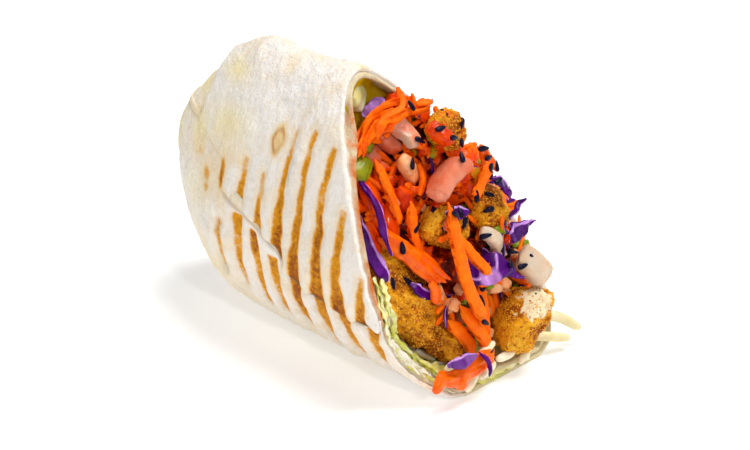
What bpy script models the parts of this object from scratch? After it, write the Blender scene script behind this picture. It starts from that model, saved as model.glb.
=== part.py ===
"""Half of a chicken burrito, cut on the slant and standing on its flattened long edge.

The closed, folded end points to -X, the cut faces +X and a little upwards, and the grilled
side with the loose edge of the tortilla faces -Y.  Shapes are worked out in millimetres and
become metres when an object is made.  Places on the cut are given in the cut's own frame,
from its middle: u up the cut, v across it to the back, h out of it.
"""

import math
import random

import bmesh
import bpy
import numpy as np
from mathutils import Vector, noise
from mathutils.bvhtree import BVHTree

MM = 0.001
GAP = 0.4                       # room left between neighbouring pieces

# --- the wrap, mm ---------------------------------------------------------------------------
SHEET = 1.6                     # one tortilla layer
WALL = 2 * SHEET                # two layers all round
TOP_THINNER = 1.1               # drawn tighter and thinner over the top
CURL_DEPTH = 2.6                # the inner layer curls in at the rim, high up on the front
CURL_ANGLE, CURL_SPAN = 2.25, 0.2
CURL_X, CURL_FADE = -33.0, 10.0
HALF_WIDTH = 27.1
HALF_HEIGHT = 42.0
BASE_FLAT = 2.3                 # how far the resting edge is pressed flat
CENTRE_Z = HALF_HEIGHT - BASE_FLAT
SPREAD = 0.333                  # wider low down, where the filling settles
LEAN = -0.09
ROUND_FRONT_TOP = 1.95          # superellipse powers of the four quarters of the section
ROUND_BACK_TOP = 1.74
ROUND_FRONT_BASE = 1.8
ROUND_BACK_BASE = 3.5
END_X = -92.5                   # tip of the closed end
END_LENGTH = 41.9
CUT_SLOPE = -0.461              # the cut leans back towards the top
CUT_SKEW = 0.064
CUT_BOW = 0.00343
RIM_DIP = 3.2                   # the front rim is pulled back a little, low down
RIM_DIP_Z = -22.0
LIP_REACH = 1.6                 # the lip on the resting edge reaches out

# --- the loose edge of the outer layer ------------------------------------------------------
FLAP_EDGE_X = (-93, -75, -66, -57.5, -54.5, -47, -40, -33.5, -29, -23, -10, 14)
FLAP_EDGE_Z = (60, 58.5, 56.5, 53.5, 45.5, 42.3, 39.7, 36, 29, 26.8, 24.2, 24.5)
FLAP_START_X = -73.5            # the outer layer ends here, short of the folded end
FLAP_START_FADE = 2.5
FOLD_DROP = 3.4                 # the fold behind the flap's end lies this much lower
TUCK_REACH = 2.6                # the tucked lobe stands out of the closed end
TUCK_Y, TUCK_Z, TUCK_SIZE = -14.0, 55.0, 10.0
CREASE_DEPTH = 0.5

AROUND = 46                     # faces round the wrap
END_RINGS = 8
SIDE_RINGS = 12
INNER_END_RINGS = 5
INNER_SIDE_RINGS = 7
FACE_RINGS = 13

# --- the filling, mm ------------------------------------------------------------------------
DOME_HEIGHT = 11.0              # the filling stands out of the cut, most of all to the back
DOME_U, DOME_V = 2.0, 12.0
DOME_LONG, DOME_WIDE = 30.0, 17.0
DOME_DROP = 6.3                 # the mixed filling lies this far below the top pieces
LUMP_HEIGHT = 1.5
LUMP_SIZE = 5.5
WALL_ROOM = 1.2                 # between a loose piece and the tortilla
FILLING_ROOM = 0.6              # between the mixed filling and the tortilla
BEADS = 9                       # points along a piece where it can bend over its neighbours
EASING_STEPS = 80
MOST_SINK = 4.5                 # how far a piece gives way under its neighbours
MOST_SINK_CHICKEN = 1.2
MOST_RAISES = 12
EASING_DOWN, EASING_UP = 0.33, 0.17
SESAME = (3.4, 2.0, 1.1)        # length, width, thickness
RICE = (7.2, 2.3, 2.0)
SEED_COUNT = 30
RANDOM_SEED = 11

COLOURS = {                     # base colour, roughness
    "tortilla": ((0.83, 0.74, 0.60, 1), 0.75),
    "mixed_filling": ((0.72, 0.62, 0.32, 1), 0.60),
    "chicken": ((0.55, 0.26, 0.05, 1), 0.65),
    "carrot": ((0.95, 0.26, 0.01, 1), 0.40),
    "cabbage": ((0.10, 0.02, 0.16, 1), 0.35),
    "tomato": ((0.80, 0.22, 0.14, 1), 0.30),
    "onion": ((0.86, 0.74, 0.60, 1), 0.35),
    "pepper": ((0.34, 0.38, 0.02, 1), 0.35),
    "pickle": ((0.48, 0.38, 0.02, 1), 0.35),
    "sprout": ((0.88, 0.80, 0.58, 1), 0.45),
}

# How each kind of piece is shaped: faces round it and along it, the roundness of its section
# (2 is an ellipse, more is boxy), the bluntness of its ends, and the size of its relief.
KINDS = {
    "chicken": dict(sides=12, spans=11, square=2.3, tip=2.8, relief=0.14, grain=4.5),
    "carrot": dict(sides=6, spans=8, square=3.5, tip=6.0, relief=0.06, grain=6.0),
    "cabbage": dict(sides=6, spans=9, square=3.0, tip=3.5, relief=0.0, grain=5.0),
    "tomato": dict(sides=8, spans=7, square=3.2, tip=4.0, relief=0.07, grain=6.0),
    "onion": dict(sides=8, spans=7, square=3.5, tip=4.5, relief=0.04, grain=6.0),
    "pepper": dict(sides=8, spans=7, square=3.0, tip=4.0, relief=0.06, grain=5.0),
    "pickle": dict(sides=8, spans=6, square=2.6, tip=3.0, relief=0.06, grain=6.0),
    "sprout": dict(sides=6, spans=6, square=2.0, tip=3.5, relief=0.04, grain=6.0),
}

# Every loose piece, in the order they lie, the deepest first: its middle line on the cut as
# (u, v, h), width, thickness, roll in degrees about that line (0 lies flat on the cut), and
# for a leaf the height of its waves.
PIECES = {
    "pickle_slice": ([(41.5, -1.5, -11), (41, 0, -11), (40, 2, -10.5)], 4.5, 3, 10),
    "pickle_end": ([(38, -4, -11), (35.5, -6.5, -11), (32.5, -9.5, -11)], 4, 3, 0),
    "onion_inner": ([(42.5, -6, -8), (41, -4.5, -8), (38.5, -2.5, -7.5)], 4.5, 3, 20),
    "tomato_deep": ([(36, 3.5, -8), (34.5, 5, -8), (32.5, 6.5, -7.5)], 3.6, 3.2, 0),
    "sprout_lower": ([(-36, 23, -1), (-38.5, 28, -1), (-41, 33.5, 1)], 2.8, 2.6, 0),
    "sprout_upper": ([(-31, 26, 0), (-34, 32, 0), (-40, 38, 1.5)], 3.0, 3.0, 0),
    "chicken_front": ([(6, -15, -8), (-6, -15, -7), (-18, -9, -6), (-30, -1, -6)], 15, 12, 0),
    "chicken_right": ([(-26, 13, -8), (-29, 17, 0), (-32, 22, 8)], 17, 15, 20),
    "chicken_top": ([(31, 9, 3), (27, 11, 4), (22, 14, 5)], 9, 8, 10),
    "pepper_piece": ([(25.5, -14, -6), (23.5, -13, -6), (21, -11, -6)], 6, 5, 20),
    "tomato_left": ([(31, -7, -7), (28, -6, -6), (24, -4, -5)], 6, 5, 20),
    "tomato_middle": ([(31, -2, -6), (28, -1, -5), (25, 0, -4)], 4.5, 4, 0),
    "tomato_low": ([(17, -5, -2), (13, -5, -1), (10, -5, -1)], 4, 4, 0),
    "chicken_middle": ([(7, -2, -1), (3, 3, 1), (0, 9, 2)], 10, 8, 0),
    "chicken_back": ([(9, 18, 2), (3, 17, 4), (-3, 15, 4)], 9, 8, 0),
    "cabbage_top": ([(36.5, -5, -5), (38, -2, -5), (39.5, 1, -5)], 3.6, 1.2, 30, 0.4),
    "onion_middle": ([(24, -3, -3), (20, -1, -1), (16, 0, 0)], 5, 4, 0),
    "onion_top": ([(33, 1, -1), (30, 2, 0), (25, 2, 1)], 5, 4, 10),
    "tomato_back": ([(30, 4, 1), (27, 5, 2), (24, 7, 3)], 4, 4, 10),
    "tomato_big": ([(11, -1, 2), (15, 4, 3), (18, 11, 4)], 8, 7, -10),
    "carrot_left": ([(26, -10, -3), (17, -10, -1), (8, -9, 0)], 3.2, 2.4, 10),
    "carrot_middle": ([(13, -6, 0), (4, -7, 1), (-3, -5, 2)], 3.2, 2.4, 0),
    "cabbage_left_lower": ([(14, -18.5, -4), (6, -20, -3), (-4, -20, -3)], 4.4, 1.3, -25, 0.5),
    "cabbage_middle": ([(-7, -13, -1), (-10, -11, -1), (-13, -8, 0)], 3, 1.2, 10, 0.4),
    "carrot_sauced": ([(9, -16, -3), (3, -13, -2), (-3, -9, -1), (-11, -3, 1)], 6, 3.6, 0),
    "carrot_drip": ([(-8, -10, -1), (-11, -8.5, -1), (-15, -7, -2)], 2.6, 2.2, 0),
    "cabbage_left_upper": ([(24, -16, -4), (19, -15, -2), (11, -17, -1), (2, -17, 0)], 3.6, 1.3, 35, 0.8),
    "carrot_top_left": ([(27, -15, -7), (33, -9, -6.5), (36, -1, -4.5), (36, 7, -3.5)], 5, 3, -10),
    "carrot_top_spike": ([(31, -12, -4), (34, -5, -3.5), (36, 2, -2), (41.5, 3, -2)], 4, 3, 10),
    "cabbage_inner": ([(-13, 5, 3), (-17, 4, 2), (-20, 3.5, 1)], 3, 1.2, 20, 0.4),
    "carrot_right": ([(-14, 7, 4), (-23, 6, 3), (-33, 6, 1)], 3.6, 2.4, -20),
    "carrot_low_left": ([(-20, -6, -1), (-26, -2, -1), (-32, 2, -2)], 4.2, 2.6, 0),
    "carrot_low_right": ([(-17, -3, 2), (-26, 1, 1), (-35, 6, 0)], 4.4, 2.6, 10),
    "carrot_on_lip": ([(-35, -14, 0), (-36, -9, -1), (-36, -1, -3), (-36, 8, -3)], 5, 3.2, 0),
    "cabbage_low": ([(-33, -11, -2), (-34, -6, -1), (-34, -1, -1)], 3.6, 1.2, 20, 0.6),
    "cabbage_arc": ([(-31, 1, 0), (-35, 2, 0), (-38, 1, -1)], 2.4, 1.2, 60, 0.3),
    "onion_strip": ([(-1, 9, 6), (-6, 14, 7), (-13, 19, 5)], 4, 3, 0),
    "onion_block": ([(-10, 18, 2), (-14, 20, 1), (-20, 22, -1)], 8, 4, -10),
    "cabbage_big": ([(-9, 0, 3), (-11, 5, 4), (-12, 11, 4.5), (-17, 16, 4)], 8, 1.3, 15, 1.0),
    "carrot_back_long": ([(20, 17, 4), (16, 18, 5), (11, 19, 6)], 4, 3, 0),
    "carrot_back_short": ([(16, 14.5, 5), (12, 13, 6.5), (7.5, 9, 7)], 3.6, 2.6, 0),
    "cabbage_centre": ([(7, 0, 4.5), (6, 3, 5.5), (5, 7, 6)], 3.6, 1.2, 20, 0.6),
    "cabbage_edge": ([(11, 16, 9), (8, 19, 9), (4, 19, 10)], 3.6, 1.2, 30, 0.6),
    "carrot_branch": ([(1, 1, 6), (-5, 3, 6), (-12, 6, 5)], 3.6, 2.4, 0),
    "carrot_long": ([(10, -1, 5), (-4, -2, 6), (-16, -1, 6), (-24, 2, 5)], 4.2, 2.6, 0),
    "cabbage_wing": ([(-5.5, 16, 5), (-4.5, 21, 8), (-4.2, 26, 11)], 5, 1.3, -20, 0.8),
    "cabbage_curl": ([(-1.5, 18.5, 6), (0.5, 20.5, 8), (2.5, 24, 10)], 3, 1.2, 40, 0.8),
}

# Lettuce shreds and rice that show at the lower rim: start (u, v), length, direction in degrees.
LETTUCE = ((-3, -21, 12, 175), (-11, -20, 12, 160), (-18, -17.5, 11, 150), (-24, -14.5, 11, 150),
           (-29, -11, 10, 140), (-33, 0, 10, 95), (-34, 15, 9, 80), (-9, -18, 9, 130),
           (-21, -13.5, 9, 110), (19, -17, 9, 20))
LETTUCE_SIZE = (4.0, 1.1)
RICE_SPOTS = ((-22, -15, 20), (-25, -12, 100), (-29, -8, 60), (-35, 3, 10), (-36, 15, 40),
              (-34, 19, 120), (-37, 8, 150), (-24, -15, 80), (-12, -20, 140), (2, -21, 60),
              (30, 16, 30), (-27, 9, 90))

rng = random.Random(RANDOM_SEED)


# --- the cut's frame ------------------------------------------------------------------------
def unit(vector):
    vector = np.asarray(vector, float)
    return vector / np.linalg.norm(vector)


CUT_OUT = unit((1, -CUT_SKEW, -CUT_SLOPE))
CUT_UP = unit((CUT_SLOPE, 0, 1))
CUT_ACROSS = np.cross(CUT_UP, CUT_OUT)
CUT_MIDDLE = np.array((0, 0, CENTRE_Z))


def on_cut(u, v, h):
    """World points of places given in the cut's frame."""
    u, v, h = (np.asarray(value, float)[..., None] for value in (u, v, h))
    return CUT_MIDDLE + CUT_UP * u + CUT_ACROSS * v + CUT_OUT * h


def in_cut_frame(points):
    """(u, v, h) of world points."""
    away = np.asarray(points, float) - CUT_MIDDLE
    return away @ CUT_UP, away @ CUT_ACROSS, away @ CUT_OUT


# --- the wrap's surface ---------------------------------------------------------------------
def ramp(value):
    """Smooth step from 0 to 1."""
    value = np.clip(value, 0, 1)
    return value * value * (3 - 2 * value)


def section(theta):
    """The wrap's outline as (y, z) from its centre; theta runs from the back over the top."""
    c, s = np.cos(theta), np.sin(theta)
    top = np.where(c < 0, ROUND_FRONT_TOP, ROUND_BACK_TOP)
    base = np.where(c < 0, ROUND_FRONT_BASE, ROUND_BACK_BASE)
    power = 2 / np.where(s >= 0, top, base)
    z = np.sign(s) * np.abs(s) ** power * HALF_HEIGHT
    width = HALF_WIDTH * (1 - SPREAD * z / HALF_HEIGHT)
    y = np.sign(c) * np.abs(c) ** power * width + LEAN * z
    return y, z


def end_scale(x, start):
    """How far the section has opened at x, on a surface whose closed end is at start."""
    t = np.clip((x - start) / END_LENGTH, 0, 1)
    return np.sqrt(1 - (1 - t) ** 2)


def flap_edge_angle(x):
    """The angle of the section at which the outer layer ends, on the front."""
    z = (np.interp(x, FLAP_EDGE_X, FLAP_EDGE_Z) - CENTRE_Z) / np.maximum(end_scale(x, END_X), 0.45)
    power = np.where(z >= 0, ROUND_FRONT_TOP, ROUND_FRONT_BASE)
    rise = np.sign(z) * np.abs(z / HALF_HEIGHT) ** (power / 2)
    return math.pi - np.arcsin(np.clip(rise, -1, 1))


def inner_edge_angle(x):
    """Inside, the faces start all along at the angle where the loose edge meets the cut."""
    return flap_edge_angle(np.full(np.shape(x), FLAP_EDGE_X[-1]))


def cut_x(y, z):
    """Where the knife went, for a point z above the section's centre."""
    dip = RIM_DIP * np.exp(-((z - RIM_DIP_Z) / 9) ** 2) * ramp(-y / 12)
    lip = LIP_REACH * ramp((-z - 30) / 8)
    return CUT_SKEW * y + CUT_SLOPE * z - CUT_BOW * z * z - dip + lip


def spiral_depth(x, turn):
    """Depth of the outer face: the layer winds outwards once from the flap's edge round to it."""
    wound = ramp((x - FLAP_START_X) / FLAP_START_FADE)
    spiral = SHEET * (0.5 - turn)
    fold = FOLD_DROP * (1 - np.exp(-(1 - turn) / 0.04)) * ramp((turn - 0.35) / 0.35)
    creases = CREASE_DEPTH * np.sin(x * 0.21 + 9 * turn) * np.sin(turn * 19 + x * 0.05)
    return spiral * np.maximum(wound, 0.12) + fold * (1 - wound) + creases * ramp(-(x + 30) / 30)


def wall_depth(x, turn, extra=0.0):
    """Depth of the inner face."""
    theta = inner_edge_angle(x) + 2 * math.pi * turn
    curl = CURL_DEPTH * np.exp(-((theta % (2 * math.pi) - CURL_ANGLE) / CURL_SPAN) ** 2)
    return WALL + extra - TOP_THINNER * ramp(np.sin(theta) * 1.4 - 0.3) + curl * ramp((x - CURL_X) / CURL_FADE)


def skin(x, theta, depth, level, end_x):
    """Points `depth` mm inside the section; `level` is that face's height on the resting edge."""
    y, z = section(theta)
    shrink = end_scale(x, end_x) * (1 - depth / np.hypot(y, z))
    y = y * shrink
    z = np.maximum(z * shrink, level - CENTRE_Z)
    tuck = TUCK_REACH * np.exp(-((y - TUCK_Y) ** 2 + (z + CENTRE_Z - TUCK_Z) ** 2) / TUCK_SIZE ** 2)
    x = x - tuck * ramp((-70 - x) / 12)
    return np.stack((x, y, z + CENTRE_Z), -1)


def wrap_rings(edge_angle, depth_at, level, end_x, end_rings, side_rings, around):
    """Rings of points from the closed end to the cut, each starting at the flap's edge."""
    turn = np.arange(around + 1) / AROUND
    rings = []
    for i in range(1, end_rings + 1):
        x = np.full(around + 1, end_x + END_LENGTH * (1 - math.cos(0.5 * math.pi * i / end_rings)))
        theta = edge_angle(x) + 2 * math.pi * turn
        rings.append(skin(x, theta, depth_at(x, turn), level, end_x))
    start = end_x + END_LENGTH
    for i in range(1, side_rings + 1):
        reach = i / side_rings
        x = np.full(around + 1, start)
        for _ in range(6):
            theta = edge_angle(x) + 2 * math.pi * turn
            points = skin(x, theta, depth_at(x, turn), level, end_x)
            x = start + reach * (cut_x(points[:, 1], points[:, 2] - CENTRE_Z) - start)
        rings.append(points)
    return rings


# --- meshes ---------------------------------------------------------------------------------
def mesh_from(name, points, faces):
    """A mesh in metres, its faces turned outwards."""
    bm = bmesh.new()
    verts = [bm.verts.new(point) for point in np.asarray(points) * MM]
    for face in faces:
        bm.faces.new([verts[i] for i in face])
    bmesh.ops.recalc_face_normals(bm, faces=bm.faces)
    mesh = bpy.data.meshes.new(name)
    bm.to_mesh(mesh)
    bm.free()
    return mesh


def add_object(name, mesh, collection):
    obj = bpy.data.objects.new(name, mesh)
    collection.objects.link(obj)
    return obj


def strip_faces(first, second, count, flip=False):
    """Triangles between two rows of `count` + 1 points, given by their first numbers."""
    faces = []
    for k in range(count):
        a, b, c, d = first + k, first + k + 1, second + k + 1, second + k
        faces += [(a, b, d), (b, c, d)] if flip else [(a, b, c), (a, c, d)]
    return faces


def sweep(path, width, thick, roll, wave, kind, seed):
    """A closed solid along a smooth line on the cut: points in mm and triangles."""
    shape = KINDS[kind]
    sides, spans = shape["sides"], shape["spans"]
    t = (1 - np.cos(math.pi * np.arange(1, spans) / spans)) / 2
    controls = on_cut(*np.array(path, float).T)
    middle = smooth_line(controls, t)
    ahead = smooth_line(controls, np.minimum(t + 0.01, 1)) - smooth_line(controls, np.maximum(t - 0.01, 0))
    ahead /= np.linalg.norm(ahead, axis=1)[:, None]
    side = np.cross(ahead, CUT_OUT)
    side /= np.linalg.norm(side, axis=1)[:, None]
    up = np.cross(side, ahead)
    angle = math.radians(roll) * (1 - 0.4 * t)[:, None]
    side, up = side * np.cos(angle) + up * np.sin(angle), up * np.cos(angle) - side * np.sin(angle)
    middle = middle + up * (wave * np.sin(11 * t + seed))[:, None]
    fade = (1 - np.abs(2 * t - 1) ** shape["tip"]) ** (1 / shape["tip"])
    around = 2 * math.pi * (np.arange(sides) + 0.5) / sides
    c, s = np.cos(around), np.sin(around)
    flat = np.sign(c) * np.abs(c) ** (2 / shape["square"]) * width / 2
    rise = np.sign(s) * np.abs(s) ** (2 / shape["square"]) * thick / 2
    ripple = wave * np.sin(9 * t + 2 * seed)[:, None] * (flat / width) ** 2
    rings = (middle[:, None] + side[:, None] * (flat * fade[:, None])[..., None]
             + up[:, None] * (rise * fade[:, None] + ripple)[..., None])
    rings = rings + relief(rings, middle, shape["relief"], shape["grain"], seed)
    ends = smooth_line(controls, np.array((0.0, 1.0)))
    points = [ends[0], *rings.reshape(-1, 3), ends[1]]
    return np.array(points), sweep_faces(sides, spans - 1)


def smooth_line(controls, t):
    """A smooth line through a few points, read at t from 0 to 1."""
    steps = np.linalg.norm(np.diff(controls, axis=0), axis=1)
    knots = np.concatenate(((0.0,), np.cumsum(steps))) / steps.sum()
    slopes = np.gradient(controls, knots, axis=0)
    i = np.clip(np.searchsorted(knots, t, side="right") - 1, 0, len(steps) - 1)
    gap = (knots[i + 1] - knots[i])[:, None]
    f = ((t - knots[i]) / gap[:, 0])[:, None]
    return ((1 + 2 * f) * (1 - f) ** 2 * controls[i] + f * (1 - f) ** 2 * gap * slopes[i]
            + f * f * (3 - 2 * f) * controls[i + 1] - f * f * (1 - f) * gap * slopes[i + 1])


def relief(rings, middle, amount, grain, seed):
    """Crags and dents: each ring point is moved away from or towards the middle line."""
    away = rings - middle[:, None]
    bumps = [noise.noise(Vector(point / grain) + Vector((seed, 2 * seed, 0))) for point in rings.reshape(-1, 3)]
    return away * (2 * amount * np.array(bumps)).reshape(rings.shape[:2])[..., None]


def sweep_faces(sides, rings):
    """Triangles of a sweep; the lower half's diagonals mirror the upper half's."""
    faces = []
    last = 1 + rings * sides
    for k in range(sides):
        n = (k + 1) % sides
        faces.append((0, 1 + n, 1 + k))
        faces.append((last, last - sides + k, last - sides + n))
        for j in range(rings - 1):
            a, b = 1 + j * sides + k, 1 + j * sides + n
            c, d = b + sides, a + sides
            faces += [(a, b, c), (a, c, d)] if k < sides // 2 else [(a, b, d), (b, c, d)]
    return faces


# --- the tortilla ---------------------------------------------------------------------------
def tortilla_mesh():
    """One sheet wound twice: an outer spiral with its loose edge, an inner wall and the rim."""
    outer = wrap_rings(flap_edge_angle, spiral_depth, 0.0, END_X, END_RINGS, SIDE_RINGS, AROUND)
    inner = wrap_rings(inner_edge_angle, wall_depth, WALL, END_X + WALL + 1,
                       INNER_END_RINGS, INNER_SIDE_RINGS, AROUND - 1)
    tip = skin(np.array([END_X]), np.array([2.6]), 0, 0, END_X)[0]
    inner_tip = tip + np.array((WALL + 1, 0, 0))
    points = [*np.concatenate(outer), *np.concatenate(inner), tip, inner_tip]
    row, inner_row = AROUND + 1, AROUND
    first_inner = len(outer) * row
    tip_index, inner_tip_index = len(points) - 2, len(points) - 1
    faces = []
    for j in range(len(outer) - 1):
        faces += strip_faces(j * row, (j + 1) * row, AROUND)
        a, b = j * row, (j + 1) * row
        faces += [(a + AROUND, a, b), (a + AROUND, b, b + AROUND)]
    for j in range(len(inner) - 1):
        a = first_inner + j * inner_row
        faces += strip_faces(a, a + inner_row, AROUND - 1)
        faces += [(a + AROUND - 1, a, a + inner_row), (a + AROUND - 1, a + inner_row, a + 2 * inner_row - 1)]
    for k in range(AROUND):
        faces.append((k, k + 1, tip_index))
        a = first_inner + k
        b = first_inner + (k + 1) % AROUND
        faces.append((a, b, inner_tip_index))
        rim, inner_rim = (len(outer) - 1) * row, first_inner + (len(inner) - 1) * inner_row
        c, d = inner_rim + (k + 1) % AROUND, inner_rim + k
        faces += [(rim + k, rim + k + 1, c), (rim + k, c, d)]
    faces.append((AROUND, 0, tip_index))
    faces.append((rim + AROUND, rim, inner_rim))
    return mesh_from("tortilla", points, faces)


# --- laying the pieces ----------------------------------------------------------------------
def tree_of(points, faces):
    return BVHTree.FromPolygons([tuple(p) for p in points], faces)


def mesh_tree(mesh):
    points = [tuple(v.co / MM) for v in mesh.vertices]
    return BVHTree.FromPolygons(points, [tuple(p.vertices) for p in mesh.polygons])


def height_of_hit(tree, start, direction):
    """h of the first surface met from a start point, or None."""
    hit = tree.ray_cast(Vector(start), Vector(direction))[0]
    return None if hit is None else float(in_cut_frame(hit)[2])


def beads_of(path, width, thick, roll, tip):
    """Points along a piece with the half width and half height that it takes up at each."""
    t = np.linspace(0, 1, BEADS)
    places = smooth_line(np.array(path, float), t)
    fade = (1 - np.abs(2 * np.clip(t, 0.05, 0.95) - 1) ** tip) ** (1 / tip)
    turned = math.radians(roll)
    across = math.hypot(width * math.cos(turned), thick * math.sin(turned)) / 2
    height = math.hypot(thick * math.cos(turned), width * math.sin(turned)) / 2
    return places, across * fade, height * fade


def wall_floor(places, across, height, sink, wrap):
    """The lowest that each bead may lie without touching the tortilla."""
    floor = []
    for (u, v, h), half, rise in zip(places, across, height):
        hits = [height_of_hit(wrap, on_cut(u + 0.6 * a * half, v + 0.6 * b * half, h + 3), -CUT_OUT)
                for a, b in ((0, 0), (0, 1), (0, -1), (1, 0), (-1, 0))]
        hits = [hit for hit in hits if hit is not None]
        floor.append(max([hit + WALL_ROOM + 0.6 * rise for hit in hits] + [h - sink]))
    return np.array(floor)


def ease_apart(wrap):
    """Bend crossing pieces, the lower ones down and the upper ones up, until they clear."""
    chains, floor = [], []
    for name, (path, width, thick, roll, *wave) in PIECES.items():
        kind = name.split("_")[0]
        chains.append(beads_of(path, width, thick + sum(wave), roll, KINDS[kind]["tip"]))
        sink = MOST_SINK_CHICKEN if kind == "chicken" else MOST_SINK
        floor.append(wall_floor(*chains[-1], sink, wrap))
    floor = np.concatenate(floor)
    places = np.concatenate([chain[0] for chain in chains])
    across = np.concatenate([chain[1] for chain in chains])
    height = np.concatenate([chain[2] for chain in chains])
    rank = np.repeat(np.arange(len(chains)), BEADS)
    apart = np.hypot(*(places[:, None, :2] - places[None, :, :2]).transpose(2, 0, 1))
    near = np.minimum(apart / (across[:, None] + across[None]), 1)
    need = (height[:, None] + height[None]) * (1 - near ** 3) ** (1 / 3) + GAP * 1.3
    above = (rank[:, None] > rank[None]) & (near < 1)
    h = np.maximum(places[:, 2], floor)
    for _ in range(EASING_STEPS):
        short = np.where(above, np.maximum(need - (h[:, None] - h[None]), 0), 0)
        push = EASING_UP * short.max(1) - EASING_DOWN * short.max(0)
        push = push.reshape(-1, BEADS)
        bent = (h - places[:, 2]).reshape(-1, BEADS) + push
        bent[:, 1:-1] = 0.8 * bent[:, 1:-1] + 0.1 * (bent[:, 2:] + bent[:, :-2])
        h = np.maximum(places[:, 2] + bent.ravel(), floor)
    places[:, 2] = h
    return dict(zip(PIECES, places.reshape(-1, BEADS, 3)))


def clearance_lift(points, faces, heap, wrap):
    """How far a piece must rise, out of the cut, to clear what already lies there."""
    own = tree_of(points, faces)
    u, v, _ = in_cut_frame(points)
    step = 0.6
    lift = 0.0
    for a in np.arange(u.min(), u.max() + step, step):
        for b in np.arange(v.min(), v.max() + step, step):
            under = height_of_hit(own, on_cut(a, b, -80), CUT_OUT)
            if under is None:
                continue
            top = height_of_hit(own, on_cut(a, b, 80), -CUT_OUT)
            below = height_of_hit(heap, on_cut(a, b, 80), -CUT_OUT) if heap else None
            wall = height_of_hit(wrap, on_cut(a, b, top), -CUT_OUT)
            if below is not None:
                lift = max(lift, below + GAP - under)
            if wall is not None:
                lift = max(lift, wall + GAP - under)
    return lift


def lay_pieces(wrap):
    """Every piece in place, the deepest first, each clear of those below it."""
    laid = {}
    all_points, all_faces = [], []
    eased = ease_apart(wrap)
    for number, (name, (_, width, thick, roll, *wave)) in enumerate(PIECES.items()):
        kind = name.split("_")[0]
        points, faces = sweep(eased[name], width, thick, roll, sum(wave), kind, number + 1)
        heap = tree_of(all_points, all_faces) if all_points else None
        points = points + CUT_OUT * clearance_lift(points, faces, heap, wrap)
        for _ in range(MOST_RAISES):
            if not (heap and tree_of(points, faces).overlap(heap)) and not tree_of(points, faces).overlap(wrap):
                break
            points = points + CUT_OUT * GAP / 2
        laid[name] = (points, faces)
        base = len(all_points)
        all_points += list(points)
        all_faces += [tuple(base + i for i in face) for face in faces]
    return laid, tree_of(all_points, all_faces)


# --- the mixed filling ----------------------------------------------------------------------
def dome(u, v):
    """Height of the mixed filling's face before the pieces press into it."""
    swell = DOME_HEIGHT * math.exp(-((v - DOME_V) / DOME_WIDE) ** 2 - ((u - DOME_U) / DOME_LONG) ** 2)
    lump = LUMP_HEIGHT * noise.noise(Vector((u, v, 3.0)) / LUMP_SIZE)
    return swell - CUT_BOW * 0.9 * u * u - DOME_DROP + lump


def filling_height(u, v, pieces, wrap):
    """The face's height under the pieces that lie on it and over the tortilla below it."""
    height = dome(u, v)
    for angle in range(0, 360, 30):
        for reach in (0.0, 1.4, 2.8):
            a = u + reach * math.cos(math.radians(angle))
            b = v + reach * math.sin(math.radians(angle))
            under = height_of_hit(pieces, on_cut(a, b, -80), CUT_OUT)
            if under is not None:
                height = min(height, under - 2 * GAP)
    floor = height_of_hit(wrap, on_cut(u, v, height + 3), -CUT_OUT)
    return height if floor is None else max(height, floor + GAP)


def rim_point(theta_turn, pieces, wrap):
    """Where the filling's face meets the wall, found by halving along the wall."""
    low, high = -48.0, 12.0
    for _ in range(22):
        x = np.array([(low + high) / 2])
        theta = inner_edge_angle(x) + 2 * math.pi * theta_turn
        depth = wall_depth(x, theta_turn, FILLING_ROOM)
        point = skin(x, theta, depth, WALL + FILLING_ROOM, END_X + WALL + 1 + FILLING_ROOM)[0]
        u, v, h = in_cut_frame(point)
        if h < filling_height(u, v, pieces, wrap):
            low = x[0]
        else:
            high = x[0]
    return point, low


def filling_ring(x, turns, start):
    theta = inner_edge_angle(x) + 2 * math.pi * turns
    return skin(x, theta, wall_depth(x, turns, FILLING_ROOM), WALL + FILLING_ROOM, start)


def filling_mesh(pieces, wrap):
    """The mixed filling, which runs from the closed end to an uneven face at the cut."""
    start = END_X + WALL + 1 + FILLING_ROOM
    turns = np.arange(AROUND) / AROUND
    edge = [rim_point(turn, pieces, wrap) for turn in turns]
    edge_x = np.array([x for _, x in edge])
    rings = []
    for i in range(1, INNER_END_RINGS + 1):
        x = np.full(AROUND, start + END_LENGTH * (1 - math.cos(0.5 * math.pi * i / INNER_END_RINGS)))
        rings.append(filling_ring(x, turns, start))
    side_start = start + END_LENGTH
    for i in range(1, INNER_SIDE_RINGS):
        x = side_start + (edge_x - side_start) * i / INNER_SIDE_RINGS
        rings.append(filling_ring(x, turns, start))
    rings.append(np.array([point for point, _ in edge]))
    u, v, _ = in_cut_frame(rings[-1])
    for i in range(1, FACE_RINGS):
        inward = 1 - i / FACE_RINGS
        ring = []
        for a, b in zip(DOME_U * (1 - inward) + u * inward, DOME_V / 4 * (1 - inward) + v * inward):
            ring.append(on_cut(a, b, filling_height(a, b, pieces, wrap)))
        rings.append(np.array(ring))
    tip = skin(np.array([start]), np.array([2.6]), 0, 0, start)[0]
    middle = on_cut(DOME_U, DOME_V / 4, filling_height(DOME_U, DOME_V / 4, pieces, wrap))
    points = [*np.concatenate(rings), tip, middle]
    faces = []
    for j in range(len(rings) - 1):
        a = j * AROUND
        faces += strip_faces(a, a + AROUND, AROUND - 1)
        faces += [(a + AROUND - 1, a, a + AROUND), (a + AROUND - 1, a + AROUND, a + 2 * AROUND - 1)]
    last = (len(rings) - 1) * AROUND
    for k in range(AROUND):
        n = (k + 1) % AROUND
        faces.append((n, k, len(points) - 2))
        faces.append((last + k, last + n, len(points) - 1))
    return mesh_from("mixed_filling", points, faces)


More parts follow.
